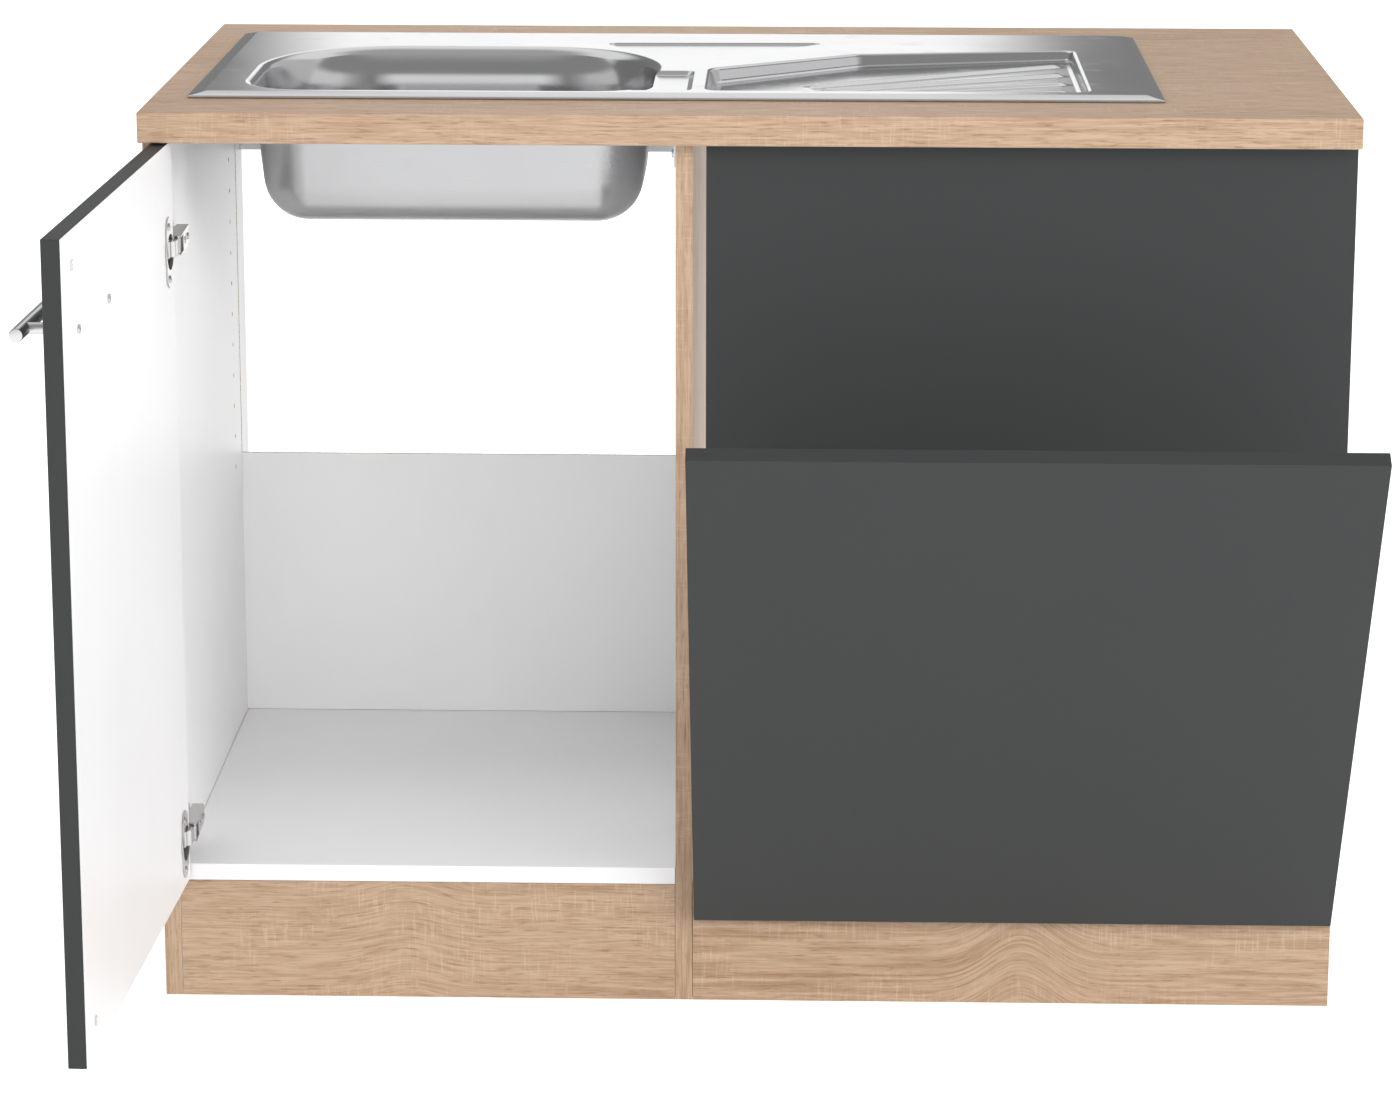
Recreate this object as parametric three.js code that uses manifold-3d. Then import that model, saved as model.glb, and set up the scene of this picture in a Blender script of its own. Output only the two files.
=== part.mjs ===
// Kitchen sink unit: a worktop with an inset pressed-steel sink, a cabinet with one door under the
// bowl, and an appliance niche beside it, closed by a front that tilts forward on two steel arms.
// Millimetres. While it is built, X runs along the worktop from its left end, Y runs back from the
// worktop's front edge, and Z rises from the floor.
import * as THREE from 'three';
import Module from 'manifold-3d';
import { mergeVertices } from 'three/addons/utils/BufferGeometryUtils.js';

const wasm = await Module();
wasm.setup();

// ---------------------------------------------------------------- driving dimensions

// Gap left between two pieces that touch, and around a pin in its hole.
const seat = 0.3;

// Worktop
const worktopLength = 1100;
const worktopDepth = 600;
const worktopThickness = 28;
const worktopHeight = 850;
const worktopRearOverhang = 2;
const cutoutLand = 12;
const cutoutCornerRadius = 12;

// Carcass boards
const boardThickness = 16;
const cabinetWidth = 500;
const frontSetback = 30;
const plinthHeight = 115;
const plinthReturnDepth = 120;
const railHeight = 100;

// Back panel, held in grooves of the side boards
const backThickness = 3.2;
const backHeight = 278;
const backFromRear = 56;
const grooveDepth = 6;

// Row of shelf holes
const shelfHoleDiameter = 5;
const shelfHoleDepth = 11;
const shelfHolePitch = 32;
const shelfHoleCount = 14;
const shelfHoleFromRear = 105;
const lowestShelfHole = 406;

// Angle brackets, and the screw holes of all the metal fittings
const angleLeg = 28;
const angleWidth = 20;
const angleThickness = 2;
const angleHoleFromCorner = 17;
const angleFromFront = 34;
const angleFromRear = 48;
const angleFromEnd = 60;
const screwHoleDiameter = 4;

// Door
const doorWidth = 496;
const doorThickness = 16;
const doorTopGap = 2;
const doorFloorGap = 118;
const frontGap = 2;
const sideReveal = 2;
const doorOpening = 92;

// Handle
const handleDiameter = 12;
const handleLength = 190;
const handlePostSpacing = 128;
const handlePostDiameter = 10;
const handleStandoff = 29;
const handleFromFreeEdge = 126;
const handleBelowTop = 85;
const handleScrewDiameter = 4;
const handleScrewHeadDiameter = 8;
const handleScrewHeadThickness = 1.6;
const handleThreadDepth = 11.6;

// Door bumpers
const bumperDiameter = 9;
const bumperThickness = 1.4;
const bumperFromFreeEdge = 41;
const bumperFromEnd = 28;

// Concealed hinges
const hingeFromTop = 98;
const hingeFromBottom = 42;
const cupDiameter = 35;
const cupDepth = 11.5;
const cupWall = 1;
const cupFromEdge = 22.5;
const flangeHeight = 65;
const flangeWidth = 26;
const flangeThickness = 1.2;
const cupRimDiameter = 39;
const flangeScrewSpacing = 48;
const flangeScrewOffset = 6;
const cupPivotFromEdge = 10;
const cupPivotDepth = 3;
const cupPinDiameter = 2.4;
const armPinDiameter = 3;
const linkReach = 20;
const linkWidth = 14;
const linkThickness = 2.6;
const linkHubDiameter = 5.6;
const notchMargin = 1.5;
const notchDepth = 5;
const kneeForward = 17.2;
const kneeSide = -0.6;
const openDoorInset = 26.5;
const openDoorForward = 3;
const armWall = 1.5;
const armSideGap = 0.5;
const armEarDiameter = 6.4;
const armLength = 60;
const armSlotLength = 24;
const plateSetback = 37;
const plateThickness = 2.9;
const plateLength = 38;
const plateWidth = 18;
const plateWingHeight = 50;
const plateWingLength = 15;
const plateScrewSpacing = 32;

// Tilting front
const tiltSideGap = 2;
const tiltHeight = 593;
const tiltThickness = 16;
const tiltOpening = 30;
const tiltPivotBehindPlinth = 20.3;
const tiltPivotDrop = 15.1;
const tiltArmInset = 60;
const tiltArmThickness = 6;
const tiltArmBar = 13.6;
const tiltArmNeck = 16.3;
const tiltArmRise = 19;
const tiltArmCorner = 12;
const tiltFlangeHeight = 66;
const tiltFlangeWidth = 30;
const tiltFlangeThickness = 3;
const tiltGusset = 20;
const tiltPinDiameter = 8;
const tiltPinHeadDiameter = 12;
const tiltPinHeadThickness = 2;
const pivotPlateWidth = 42;
const pivotPlateThickness = 3;
const pivotPlateHeight = 30;
const pivotEarThickness = 2;
const pivotEarGap = 0.5;
const stopDrop = 1;

// Fixed panel over the niche
const infillHeight = 342;
const infillGap = 12;

// Pressed sink
const sinkLength = 896;
const sinkDepth = 425;
const sinkFromLeft = 34;
const sinkFromFront = 86;
const sinkCornerRadius = 5;
const sheet = 1;
const lipHeight = 2;
const bevelWidth = 13;
const bevelRise = 3.5;
const sealWidth = 7;
const sealInset = 4;
const sealThickness = 1.5;

// Bowl: its outline is measured from the sink's front left corner
const bowlLeft = 44;
const bowlFront = 18;
const bowlWidth = 388;
const bowlLength = 284;
const bowlDepth = 130;
const bowlDraft = 6;
const bowlRim = 8;
const bowlFoot = 46;
const bowlFrontRadius = 58;
const bowlRearRadius = 130;
const bowlDish = 3;
const drainSeatDiameter = 86;
const drainSeatDepth = 3.5;
const drainSeatTaper = 3.5;
const drainHoleDiameter = 52;

// Saddle between bowl and drainer
const saddleLeft = 400;
const saddleWidth = 63;
const saddleLength = 128;
const saddleDepth = 4;
const saddleDraft = 50;
const saddleRim = 1.5;
const saddleFoot = 1.5;
const saddleCornerRadius = 6;

// Ribbed drainer tray
const trayLeft = 473;
const trayFront = 26;
const trayLength = 358;
const trayLeftDepth = 145;
const trayBendLength = 145;
const trayBendDepth = 248;
const trayRightDepth = 280;
const trayDeepEnd = 15;
const trayShallowEnd = 9;
const trayRim = 3;
const trayFoot = 4;
const trayCornerRadius = 12;
const trayBendRadius = 24;
const trayDraft = 14;
const ribCount = 4;
const ribWidth = 13;
const ribHeight = 3;
const ribFanLeft = 296;
const ribFanFront = 4;
const ribFanReach = 302;
const ribFanStart = 8.6;
const ribFanStep = 5.7;
const ribEndGap = 16;

// Triangular tap ledge
const ledgeLeft = 366;
const ledgeTipLeft = 441;
const ledgeTipFront = 202;
const ledgeRight = 594;
const ledgeBackLeft = 344;
const ledgeBackRight = 351;
const ledgeDepth = 2;
const ledgeCornerRadius = 8;
const ledgeDraft = 50;
const ledgeRim = 1.5;
const ledgeFoot = 1;

// Sink clamps
const clampWidth = 18;
const clampThickness = 3;
const clampFoot = 22;
const clampTip = 4;
const clampDrop = 8;
const clampEndInset = 90;
const clampFlangeGap = 1.5;
const clampScrewDiameter = 5;
const clampNutDiameter = 9;

// ---------------------------------------------------------------- derived places

const worktopUnder = worktopHeight - worktopThickness;
const carcassTop = worktopUnder - seat;
const carcassFront = frontSetback;
const carcassRear = worktopDepth - worktopRearOverhang;
const carcassDepth = carcassRear - carcassFront;
const innerLeft = boardThickness;
const innerRight = cabinetWidth - boardThickness;
const floorTop = plinthHeight + boardThickness;
const backFront = carcassRear - backFromRear;
const plinthRear = carcassFront + boardThickness;
const railFront = carcassRear - boardThickness;
const nicheRight = worktopLength;
const infillLeft = cabinetWidth + infillGap;
const doorBack = carcassFront - frontGap;
const doorFront = doorBack - doorThickness;
const doorHeight = worktopUnder - doorTopGap - doorFloorGap;
const tiltBack = carcassFront - frontGap;
const tiltFront = tiltBack - tiltThickness;
const tiltLeft = cabinetWidth + tiltSideGap;
const tiltWidth = nicheRight - tiltSideGap - tiltLeft;
const tiltPivotY = plinthRear + tiltPivotBehindPlinth;
const tiltPivotZ = plinthHeight - tiltPivotDrop;
const landTop = worktopHeight + seat + lipHeight + bevelRise;
const sinkRight = sinkFromLeft + sinkLength;
const sinkRear = sinkFromFront + sinkDepth;

// ---------------------------------------------------------------- finishes

function finish(color, roughness, metalness) {
  return new THREE.MeshStandardMaterial({ color, roughness, metalness });
}
const oak = finish(0xc8a88a, 0.55, 0);
const whiteBoard = finish(0xf2f0ef, 0.5, 0);
const greyFront = finish(0x4a4c4d, 0.45, 0);
const steelSheet = finish(0xb9babb, 0.28, 1);
const brightSteel = finish(0xcfd0d0, 0.3, 1);
const zincPlate = finish(0xa6a7a8, 0.4, 1);
const blackFoam = finish(0x2c2d2e, 0.9, 0);
const clearPlastic = finish(0xe6e6e4, 0.35, 0);

// ---------------------------------------------------------------- shape helpers

// A block with its low corner at the origin.
function block(width, depth, height) {
  return new THREE.BoxGeometry(width, depth, height).translate(width / 2, depth / 2, height / 2);
}

// A round bar that stands on the origin along +Z.
function rod(diameter, length, sides = 20) {
  return new THREE.CylinderGeometry(diameter / 2, diameter / 2, length, sides)
    .rotateX(Math.PI / 2)
    .translate(0, 0, length / 2);
}

// Turns something built along +Z so that it points along a given direction.
function pointAlong(geometry, direction) {
  const turn = new THREE.Quaternion().setFromUnitVectors(new THREE.Vector3(0, 0, 1), direction);
  return geometry.applyQuaternion(turn);
}

// A shape drawn in X and Y, given a height along +Z.
function plate(shape, height, curveSegments = 8) {
  return new THREE.ExtrudeGeometry(shape, { depth: height, bevelEnabled: false, curveSegments });
}

// A side view drawn in Y and Z, given a width along +X.
function sidePlate(shape, width, curveSegments = 8) {
  const basis = new THREE.Matrix4().makeBasis(
    new THREE.Vector3(0, 1, 0),
    new THREE.Vector3(0, 0, 1),
    new THREE.Vector3(1, 0, 0),
  );
  return plate(shape, width, curveSegments).applyMatrix4(basis);
}

// Keeps only the positions and merges the vertices that faces share.
function bare(geometry) {
  const plain = geometry.clone();
  plain.deleteAttribute('normal');
  plain.deleteAttribute('uv');
  return mergeVertices(plain, 1e-4);
}

function toSolid(geometry) {
  const plain = bare(geometry);
  const vertProperties = new Float32Array(plain.attributes.position.array);
  const triVerts = new Uint32Array(plain.index.array);
  return new wasm.Manifold(new wasm.Mesh({ numProp: 3, vertProperties, triVerts }));
}

function toGeometry(solid) {
  const mesh = solid.getMesh();
  const geometry = new THREE.BufferGeometry();
  geometry.setAttribute('position', new THREE.BufferAttribute(mesh.vertProperties, 3));
  geometry.setIndex(new THREE.BufferAttribute(mesh.triVerts, 1));
  return geometry;
}

function cut(body, tools) {
  const start = toSolid(body);
  return toGeometry(tools.reduce((solid, tool) => solid.subtract(toSolid(tool)), start));
}

function join(pieces) {
  const [first, ...others] = pieces.map(toSolid);
  return toGeometry(others.reduce((solid, piece) => solid.add(piece), first));
}

// A cutter is placed by a point on the surface and the direction it is driven in.
function driven(geometry, point, direction) {
  return pointAlong(geometry, direction).translate(point.x, point.y, point.z);
}

function screwHole(depth) {
  return rod(screwHoleDiameter, depth + 2 * seat, 10).translate(0, 0, -seat);
}

const along = {
  left: new THREE.Vector3(-1, 0, 0),
  right: new THREE.Vector3(1, 0, 0),
  forward: new THREE.Vector3(0, -1, 0),
  back: new THREE.Vector3(0, 1, 0),
  down: new THREE.Vector3(0, 0, -1),
  up: new THREE.Vector3(0, 0, 1),
};

function at(x, y, z) {
  return new THREE.Vector3(x, y, z);
}

// ---------------------------------------------------------------- assembly helpers

const unit = new THREE.Group();

function addPart(parent, name, geometry, material, position = at(0, 0, 0)) {
  const mesh = new THREE.Mesh(geometry, material);
  mesh.name = name;
  mesh.position.copy(position);
  parent.add(mesh);
  return mesh;
}

// A board from its low corner and size, with cutters given in the unit's own frame.
function addBoard(parent, name, material, corner, size, cutters = []) {
  const blank = block(size.x, size.y, size.z);
  const local = cutters.map((cutter) => cutter.clone().translate(-corner.x, -corner.y, -corner.z));
  const geometry = local.length > 0 ? cut(blank, local) : blank;
  return addPart(parent, name, geometry, material, corner);
}

// ---------------------------------------------------------------- angle brackets

// Bracket in its inside corner: one leg lies along each of two directions, a screw hole in each.
function angleBracket(corner, alongA, alongB) {
  const side = alongA.clone().cross(alongB);
  const basis = new THREE.Matrix4().makeBasis(alongA, alongB, side).setPosition(corner);
  const middle = angleWidth / 2;
  const legs = join([
    block(angleLeg, angleThickness, angleWidth),
    block(angleThickness, angleLeg, angleWidth),
  ]);
  const body = cut(legs, [
    driven(screwHole(angleThickness), at(angleHoleFromCorner, angleThickness, middle), along.forward),
    driven(screwHole(angleThickness), at(angleThickness, angleHoleFromCorner, middle), along.left),
  ]);
  return body.translate(seat, seat, -middle).applyMatrix4(basis);
}

function addAngle(name, corner, alongA, alongB) {
  addPart(unit, name, angleBracket(corner, alongA, alongB), zincPlate);
}

// Brackets hold the worktop on the boards under it, and tie the plinths to what they meet.
function angleBrackets() {
  const rows = { front: carcassFront + angleFromFront, rear: carcassRear - angleFromRear };
  for (const [row, y] of Object.entries(rows)) {
    addAngle(`left_${row}_bracket`, at(innerLeft, y, worktopUnder), along.right, along.down);
    addAngle(`mid_${row}_bracket`, at(innerRight, y, worktopUnder), along.left, along.down);
  }
  const infillEnds = { left: infillLeft + angleFromEnd, right: nicheRight - angleFromEnd };
  for (const [end, x] of Object.entries(infillEnds)) {
    addAngle(`infill_${end}_bracket`, at(x, plinthRear, worktopUnder), along.back, along.down);
  }
  const half = plinthHeight / 2;
  const returnInside = nicheRight - boardThickness;
  addAngle('left_plinth_bracket', at((innerLeft + innerRight) / 2, plinthRear, plinthHeight),
    along.back, along.down);
  addAngle('niche_plinth_bracket', at(cabinetWidth, plinthRear, half), along.right, along.back);
  addAngle('return_bracket', at(returnInside, plinthRear, half), along.left, along.back);
}

// ---------------------------------------------------------------- concealed hinges

function turned(vector, degrees) {
  return vector.clone().rotateAround(new THREE.Vector2(0, 0), THREE.MathUtils.degToRad(degrees));
}

// Plan of the hinge. The link keeps its length from the closed to the open door, so its fixed
// pivot lies on the line that bisects the cup pivot's two places.
function hingePlan() {
  const closedCorner = new THREE.Vector2(sideReveal, doorBack);
  const openCorner = new THREE.Vector2(openDoorInset, carcassFront - openDoorForward);
  const cupPivot = new THREE.Vector2(cupPivotFromEdge, -cupPivotDepth);
  const closed = closedCorner.clone().add(cupPivot);
  const open = openCorner.clone().add(turned(cupPivot, -doorOpening));
  const travel = open.clone().sub(closed);
  const across = new THREE.Vector2(-travel.y, travel.x).normalize();
  const middle = closed.clone().add(open).multiplyScalar(0.5);
  const armPivot = middle.addScaledVector(across, linkReach);
  const linkTurn = open.clone().sub(armPivot).angle() - closed.clone().sub(armPivot).angle();
  return { closed, open, armPivot, linkTurn };
}

const hinge = hingePlan();
const hingeHeights = {
  upper: worktopUnder - doorTopGap - hingeFromTop,
  lower: doorFloorGap + hingeFromBottom,
};
const cupCentreX = sideReveal + cupFromEdge;
const flangeBack = doorBack + seat;

function flangeScrewPoint(height, side) {
  const x = cupCentreX + flangeScrewOffset;
  const lift = side * flangeScrewSpacing / 2;
  return at(x, flangeBack + flangeThickness, height + lift);
}

function plateScrewPoint(height, side) {
  const lift = side * plateScrewSpacing / 2;
  return at(innerLeft + seat + plateThickness, carcassFront + plateSetback, height + lift);
}

// Cup with its screw flange, in the closed door's place. Its rim is notched where the link passes.
function hingeCup(height) {
  const inner = cupDiameter - 2 * cupWall;
  const top = flangeBack + flangeThickness;
  const depth = top - (doorBack - cupDepth);
  const lying = (geometry) => pointAlong(geometry, along.forward).translate(cupCentreX, top, height);
  const body = lying(rod(cupDiameter, depth, 32));
  const rim = lying(rod(cupRimDiameter, flangeThickness, 32));
  const hollow = lying(rod(inner, depth, 32).translate(0, 0, -cupWall));
  const flange = new THREE.Shape();
  const half = flangeHeight / 2;
  const round = flangeWidth / 2;
  flange.absarc(0, -half + round, round, Math.PI, 2 * Math.PI);
  flange.absarc(0, half - round, round, 0, Math.PI);
  const flangePlate = plate(flange, flangeThickness)
    .rotateX(Math.PI / 2)
    .translate(cupCentreX + flangeScrewOffset / 2, top, height);
  const notchWidth = linkWidth + 2 * notchMargin;
  const notch = block(cupRimDiameter / 2, top - doorBack + notchDepth + seat, notchWidth)
    .translate(cupCentreX - cupRimDiameter / 2 - seat, doorBack - notchDepth, height - notchWidth / 2);
  const holes = [-1, 1].map((side) => (
    driven(screwHole(flangeThickness), flangeScrewPoint(height, side), along.forward)
  ));
  return cut(join([body, rim, flangePlate]), [hollow, notch, ...holes]);
}

function cupBore(height) {
  const bore = rod(cupDiameter + 2 * seat, cupDepth + 2 * seat, 32).translate(0, 0, -seat);
  return pointAlong(bore, along.forward).translate(cupCentreX, doorBack, height);
}

// The folded link, drawn about the arm pivot with the door open, and then turned to the closed place.
function hingeLink() {
  const toCup = hinge.open.clone().sub(hinge.armPivot);
  const knee = new THREE.Vector2(kneeSide, -kneeForward);
  const strip = (from, to) => {
    const length = from.distanceTo(to);
    const direction = to.clone().sub(from).angle();
    return block(length, linkThickness, linkWidth)
      .translate(0, -linkThickness / 2, 0)
      .rotateZ(direction)
      .translate(from.x, from.y, 0);
  };
  const hub = (spot, diameter) => rod(diameter, linkWidth).translate(spot.x, spot.y, 0);
  const bore = (spot, diameter) => (
    rod(diameter + 2 * seat, linkWidth + 2 * seat).translate(spot.x, spot.y, -seat)
  );
  const origin = new THREE.Vector2(0, 0);
  const body = join([
    strip(origin, knee),
    strip(knee, toCup),
    hub(origin, linkHubDiameter),
    hub(knee, linkThickness),
    hub(toCup, linkHubDiameter),
  ]);
  const bores = [bore(origin, armPinDiameter), bore(toCup, cupPinDiameter)];
  return cut(body, bores).translate(0, 0, -linkWidth / 2);
}

// The channel-shaped arm on its mounting plate, about its pivot, at rest on the side board.
function hingeArm() {
  const pivot = hinge.armPivot;
  const low = innerLeft + 2 * seat + plateThickness;
  const high = pivot.x + armEarDiameter / 2;
  const rear = pivot.y + armLength;
  const step = carcassFront + plateSetback - plateLength / 2;
  const outline = new THREE.Shape();
  outline.moveTo(low, step);
  outline.lineTo(pivot.x - armEarDiameter / 2, pivot.y);
  outline.absarc(pivot.x, pivot.y, armEarDiameter / 2, Math.PI, 2 * Math.PI);
  outline.lineTo(high - armWall, rear);
  outline.lineTo(low, rear);
  const width = linkWidth + 2 * (armSideGap + armWall);
  const channel = linkWidth + 2 * armSideGap;
  const slot = block(high, armSlotLength, channel)
    .translate(low + armWall, pivot.y - armEarDiameter, -channel / 2);
  const bore = rod(armPinDiameter + 2 * seat, 2 * width).translate(pivot.x, pivot.y, -width);
  return cut(plate(outline, width).translate(0, 0, -width / 2), [slot, bore]);
}

function hingeMount(height) {
  const centreY = carcassFront + plateSetback;
  const foot = block(plateThickness, plateLength, plateWidth)
    .translate(innerLeft + seat, centreY - plateLength / 2, height - plateWidth / 2);
  const wings = block(plateThickness, plateWingLength, plateWingHeight)
    .translate(innerLeft + seat, centreY - plateWingLength / 2, height - plateWingHeight / 2);
  const holes = [-1, 1].map((side) => (
    driven(screwHole(plateThickness), plateScrewPoint(height, side), along.left)
  ));
  return cut(join([foot, wings]), holes);
}

// ---------------------------------------------------------------- cabinet

function shelfHoles(surface, direction) {
  const rows = Array.from({ length: shelfHoleCount }, (_, row) => lowestShelfHole + row * shelfHolePitch);
  const y = carcassRear - shelfHoleFromRear;
  const inside = rows.filter((z) => z < carcassTop - shelfHolePitch / 2);
  return inside.map((z) => (
    driven(rod(shelfHoleDiameter, shelfHoleDepth, 8).translate(0, 0, -seat), at(surface, y, z), direction)
  ));
}

function backGroove(x) {
  return block(grooveDepth + 2 * seat, backThickness + 2 * seat, carcassTop)
    .translate(x, backFront - seat, floorTop - seat);
}

function sideBoards() {
  const size = at(boardThickness, carcassDepth, carcassTop);
  const leftCuts = [...shelfHoles(innerLeft, along.left), backGroove(innerLeft - grooveDepth)];
  addBoard(unit, 'left_side_panel', oak, at(0, carcassFront, 0), size, leftCuts);
  const rightCuts = [...shelfHoles(innerRight, along.right), backGroove(innerRight - 2 * seat)];
  addBoard(unit, 'mid_panel', oak, at(innerRight, carcassFront, 0), size, rightCuts);
}

function cabinetBoards() {
  const clearLeft = innerLeft + seat;
  const clearWidth = innerRight - innerLeft - 2 * seat;
  addBoard(unit, 'bottom_panel', whiteBoard, at(clearLeft, carcassFront, plinthHeight),
    at(clearWidth, carcassDepth, boardThickness));
  addBoard(unit, 'back_panel', whiteBoard,
    at(innerLeft - grooveDepth + seat, backFront, floorTop + seat),
    at(innerRight - innerLeft + 2 * (grooveDepth - seat), backThickness, backHeight));
  addBoard(unit, 'rear_rail', whiteBoard, at(clearLeft, railFront, carcassTop - railHeight),
    at(clearWidth, boardThickness, railHeight));
  addBoard(unit, 'left_plinth', oak, at(clearLeft, carcassFront, 0),
    at(clearWidth, boardThickness, plinthHeight - seat));
}

function nicheBoards() {
  const left = cabinetWidth + seat;
  addBoard(unit, 'niche_plinth', oak, at(left, carcassFront, 0),
    at(nicheRight - left, boardThickness, plinthHeight));
  addBoard(unit, 'plinth_return', oak, at(nicheRight - boardThickness, plinthRear + seat, 0),
    at(boardThickness, plinthReturnDepth, plinthHeight));
  addBoard(unit, 'infill_panel', greyFront, at(infillLeft, carcassFront, carcassTop - infillHeight),
    at(nicheRight - infillLeft, boardThickness, infillHeight));
}

// ---------------------------------------------------------------- worktop

function rectangle(left, front, right, rear) {
  return [
    new THREE.Vector2(left, front),
    new THREE.Vector2(right, front),
    new THREE.Vector2(right, rear),
    new THREE.Vector2(left, rear),
  ];
}

function worktop() {
  const board = block(worktopLength, worktopDepth, worktopThickness).translate(0, 0, worktopUnder);
  const corners = rectangle(sinkFromLeft + cutoutLand, sinkFromFront + cutoutLand,
    sinkRight - cutoutLand, sinkRear - cutoutLand);
  const outline = roundedOutline(corners, corners.map(() => cutoutCornerRadius), 0, 4);
  const opening = plate(new THREE.Shape(outline), worktopThickness * 2)
    .translate(0, 0, worktopUnder - worktopThickness / 2);
  addPart(unit, 'worktop', cut(board, [opening]), oak);
}

// ---------------------------------------------------------------- pressed sink

// Shrinks a convex outline by an inset and turns each of its corners into an arc.
function roundedOutline(corners, radii, inset, steps) {
  const smallest = 0.5;
  return corners.flatMap((corner, index) => {
    const before = corners[(index + corners.length - 1) % corners.length];
    const after = corners[(index + 1) % corners.length];
    const arriving = corner.clone().sub(before).normalize();
    const leaving = after.clone().sub(corner).normalize();
    const normalIn = new THREE.Vector2(-arriving.y, arriving.x);
    const normalOut = new THREE.Vector2(-leaving.y, leaving.x);
    const shift = inset / (1 + normalIn.dot(normalOut));
    const moved = corner.clone().addScaledVector(normalIn.clone().add(normalOut), shift);
    const turn = Math.acos(arriving.dot(leaving));
    const radius = Math.max(radii[index] - inset, smallest);
    const centre = moved.clone()
      .addScaledVector(arriving, -radius * Math.tan(turn / 2))
      .addScaledVector(normalIn, radius);
    return Array.from({ length: steps + 1 }, (_, step) => (
      normalIn.clone().multiplyScalar(-radius)
        .rotateAround(new THREE.Vector2(0, 0), turn * step / steps)
        .add(centre)
    ));
  });
}

// A closed solid through rings of equal count, from the lowest to the highest, with a point that
// closes each end.
function loft(rings, lowCentre, highCentre) {
  const count = rings[0].length;
  const points = [...rings.flat(), lowCentre, highCentre];
  const low = points.length - 2;
  const high = points.length - 1;
  const index = [];
  const last = (rings.length - 1) * count;
  for (let side = 0; side < count; side += 1) {
    const next = (side + 1) % count;
    index.push(low, next, side);
    index.push(high, last + side, last + next);
    for (let ring = 0; ring < rings.length - 1; ring += 1) {
      const a = ring * count;
      const b = a + count;
      index.push(a + side, a + next, b + next);
      index.push(a + side, b + next, b + side);
    }
  }
  const geometry = new THREE.BufferGeometry().setFromPoints(points);
  geometry.setIndex(index);
  return geometry;
}

// Half section of a pressed pocket, from its rim to its floor: rolled rim, drafted wall, round foot.
// An offset of one sheet gives the underside.
function pocketSection({ depth, rim, foot, draft, steps }, offset) {
  const slope = THREE.MathUtils.degToRad(90 - draft);
  const section = [];
  for (let step = 0; step <= steps.rim; step += 1) {
    const angle = slope * step / steps.rim;
    section.push({
      inset: (rim - offset) * Math.sin(angle),
      drop: rim - (rim - offset) * Math.cos(angle),
    });
  }
  const wallTop = rim - rim * Math.cos(slope);
  const wallFoot = depth - foot + foot * Math.cos(slope);
  const run = (wallFoot - wallTop) / Math.tan(slope);
  const footInset = rim * Math.sin(slope) + run + foot * Math.sin(slope);
  for (let step = 0; step <= steps.foot; step += 1) {
    const angle = slope * (1 - step / steps.foot);
    section.push({
      inset: footInset - (foot + offset) * Math.sin(angle),
      drop: depth - foot + (foot + offset) * Math.cos(angle),
    });
  }
  return section;
}

// Solid of a pocket's hollow (offset 0) or of its underside (offset of one sheet).
// deepen scales the depth from place to place, and dish lowers the middle of the floor.
function pocket(outline, form, offset, deepen = () => 1, dish = 0, lowPoint = null) {
  const section = pocketSection(form, offset);
  const cornerSteps = form.steps.corner;
  const ringAt = ({ inset, drop }) => (
    roundedOutline(outline.corners, outline.radii, inset, cornerSteps).map((spot) => {
      const scaled = (drop - offset) * deepen(spot.x) + offset;
      return at(spot.x, spot.y, landTop - scaled);
    })
  );
  const startLift = offset > 0 ? -offset / 2 : 1;
  const start = roundedOutline(outline.corners, outline.radii, 0, cornerSteps)
    .map((spot) => at(spot.x, spot.y, landTop + startLift));
  const rings = [start, ...section.map(ringAt)].reverse();
  const middle = (ring) => ring.reduce((sum, spot) => sum.add(spot), at(0, 0, 0))
    .divideScalar(ring.length);
  const lowest = middle(rings[0]);
  if (lowPoint) {
    lowest.set(lowPoint.x, lowPoint.y, lowest.z);
  }
  lowest.z -= dish;
  return loft(rings, lowest, middle(start));
}

function fromSink(x, y) {
  return new THREE.Vector2(sinkFromLeft + x, sinkFromFront + y);
}

const bowl = {
  outline: {
    corners: rectangle(
      sinkFromLeft + bowlLeft,
      sinkFromFront + bowlFront,
      sinkFromLeft + bowlLeft + bowlWidth,
      sinkFromFront + bowlFront + bowlLength,
    ),
    radii: [bowlFrontRadius, bowlFrontRadius, bowlRearRadius, bowlRearRadius],
  },
  form: {
    depth: bowlDepth,
    rim: bowlRim,
    foot: bowlFoot,
    draft: bowlDraft,
    steps: { rim: 4, foot: 6, corner: 7 },
  },
  drain: fromSink(bowlLeft + bowlWidth / 2, bowlFront + bowlLength / 2),
};

const saddle = {
  outline: {
    corners: rectangle(
      sinkFromLeft + saddleLeft,
      sinkFromFront + trayFront,
      sinkFromLeft + saddleLeft + saddleWidth,
      sinkFromFront + trayFront + saddleLength,
    ),
    radii: [saddleCornerRadius, saddleCornerRadius, saddleCornerRadius, saddleCornerRadius],
  },
  form: {
    depth: saddleDepth,
    rim: saddleRim,
    foot: saddleFoot,
    draft: saddleDraft,
    steps: { rim: 2, foot: 2, corner: 3 },
  },
};

const tray = {
  outline: {
    corners: [
      fromSink(trayLeft, trayFront),
      fromSink(trayLeft + trayLength, trayFront),
      fromSink(trayLeft + trayLength, trayFront + trayRightDepth),
      fromSink(trayLeft + trayBendLength, trayFront + trayBendDepth),
      fromSink(trayLeft, trayFront + trayLeftDepth),
    ],
    radii: [trayCornerRadius, trayCornerRadius, trayCornerRadius, trayBendRadius, trayBendRadius],
  },
  form: {
    depth: trayDeepEnd,
    rim: trayRim,
    foot: trayFoot,
    draft: trayDraft,
    steps: { rim: 3, foot: 3, corner: 4 },
  },
};

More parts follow.
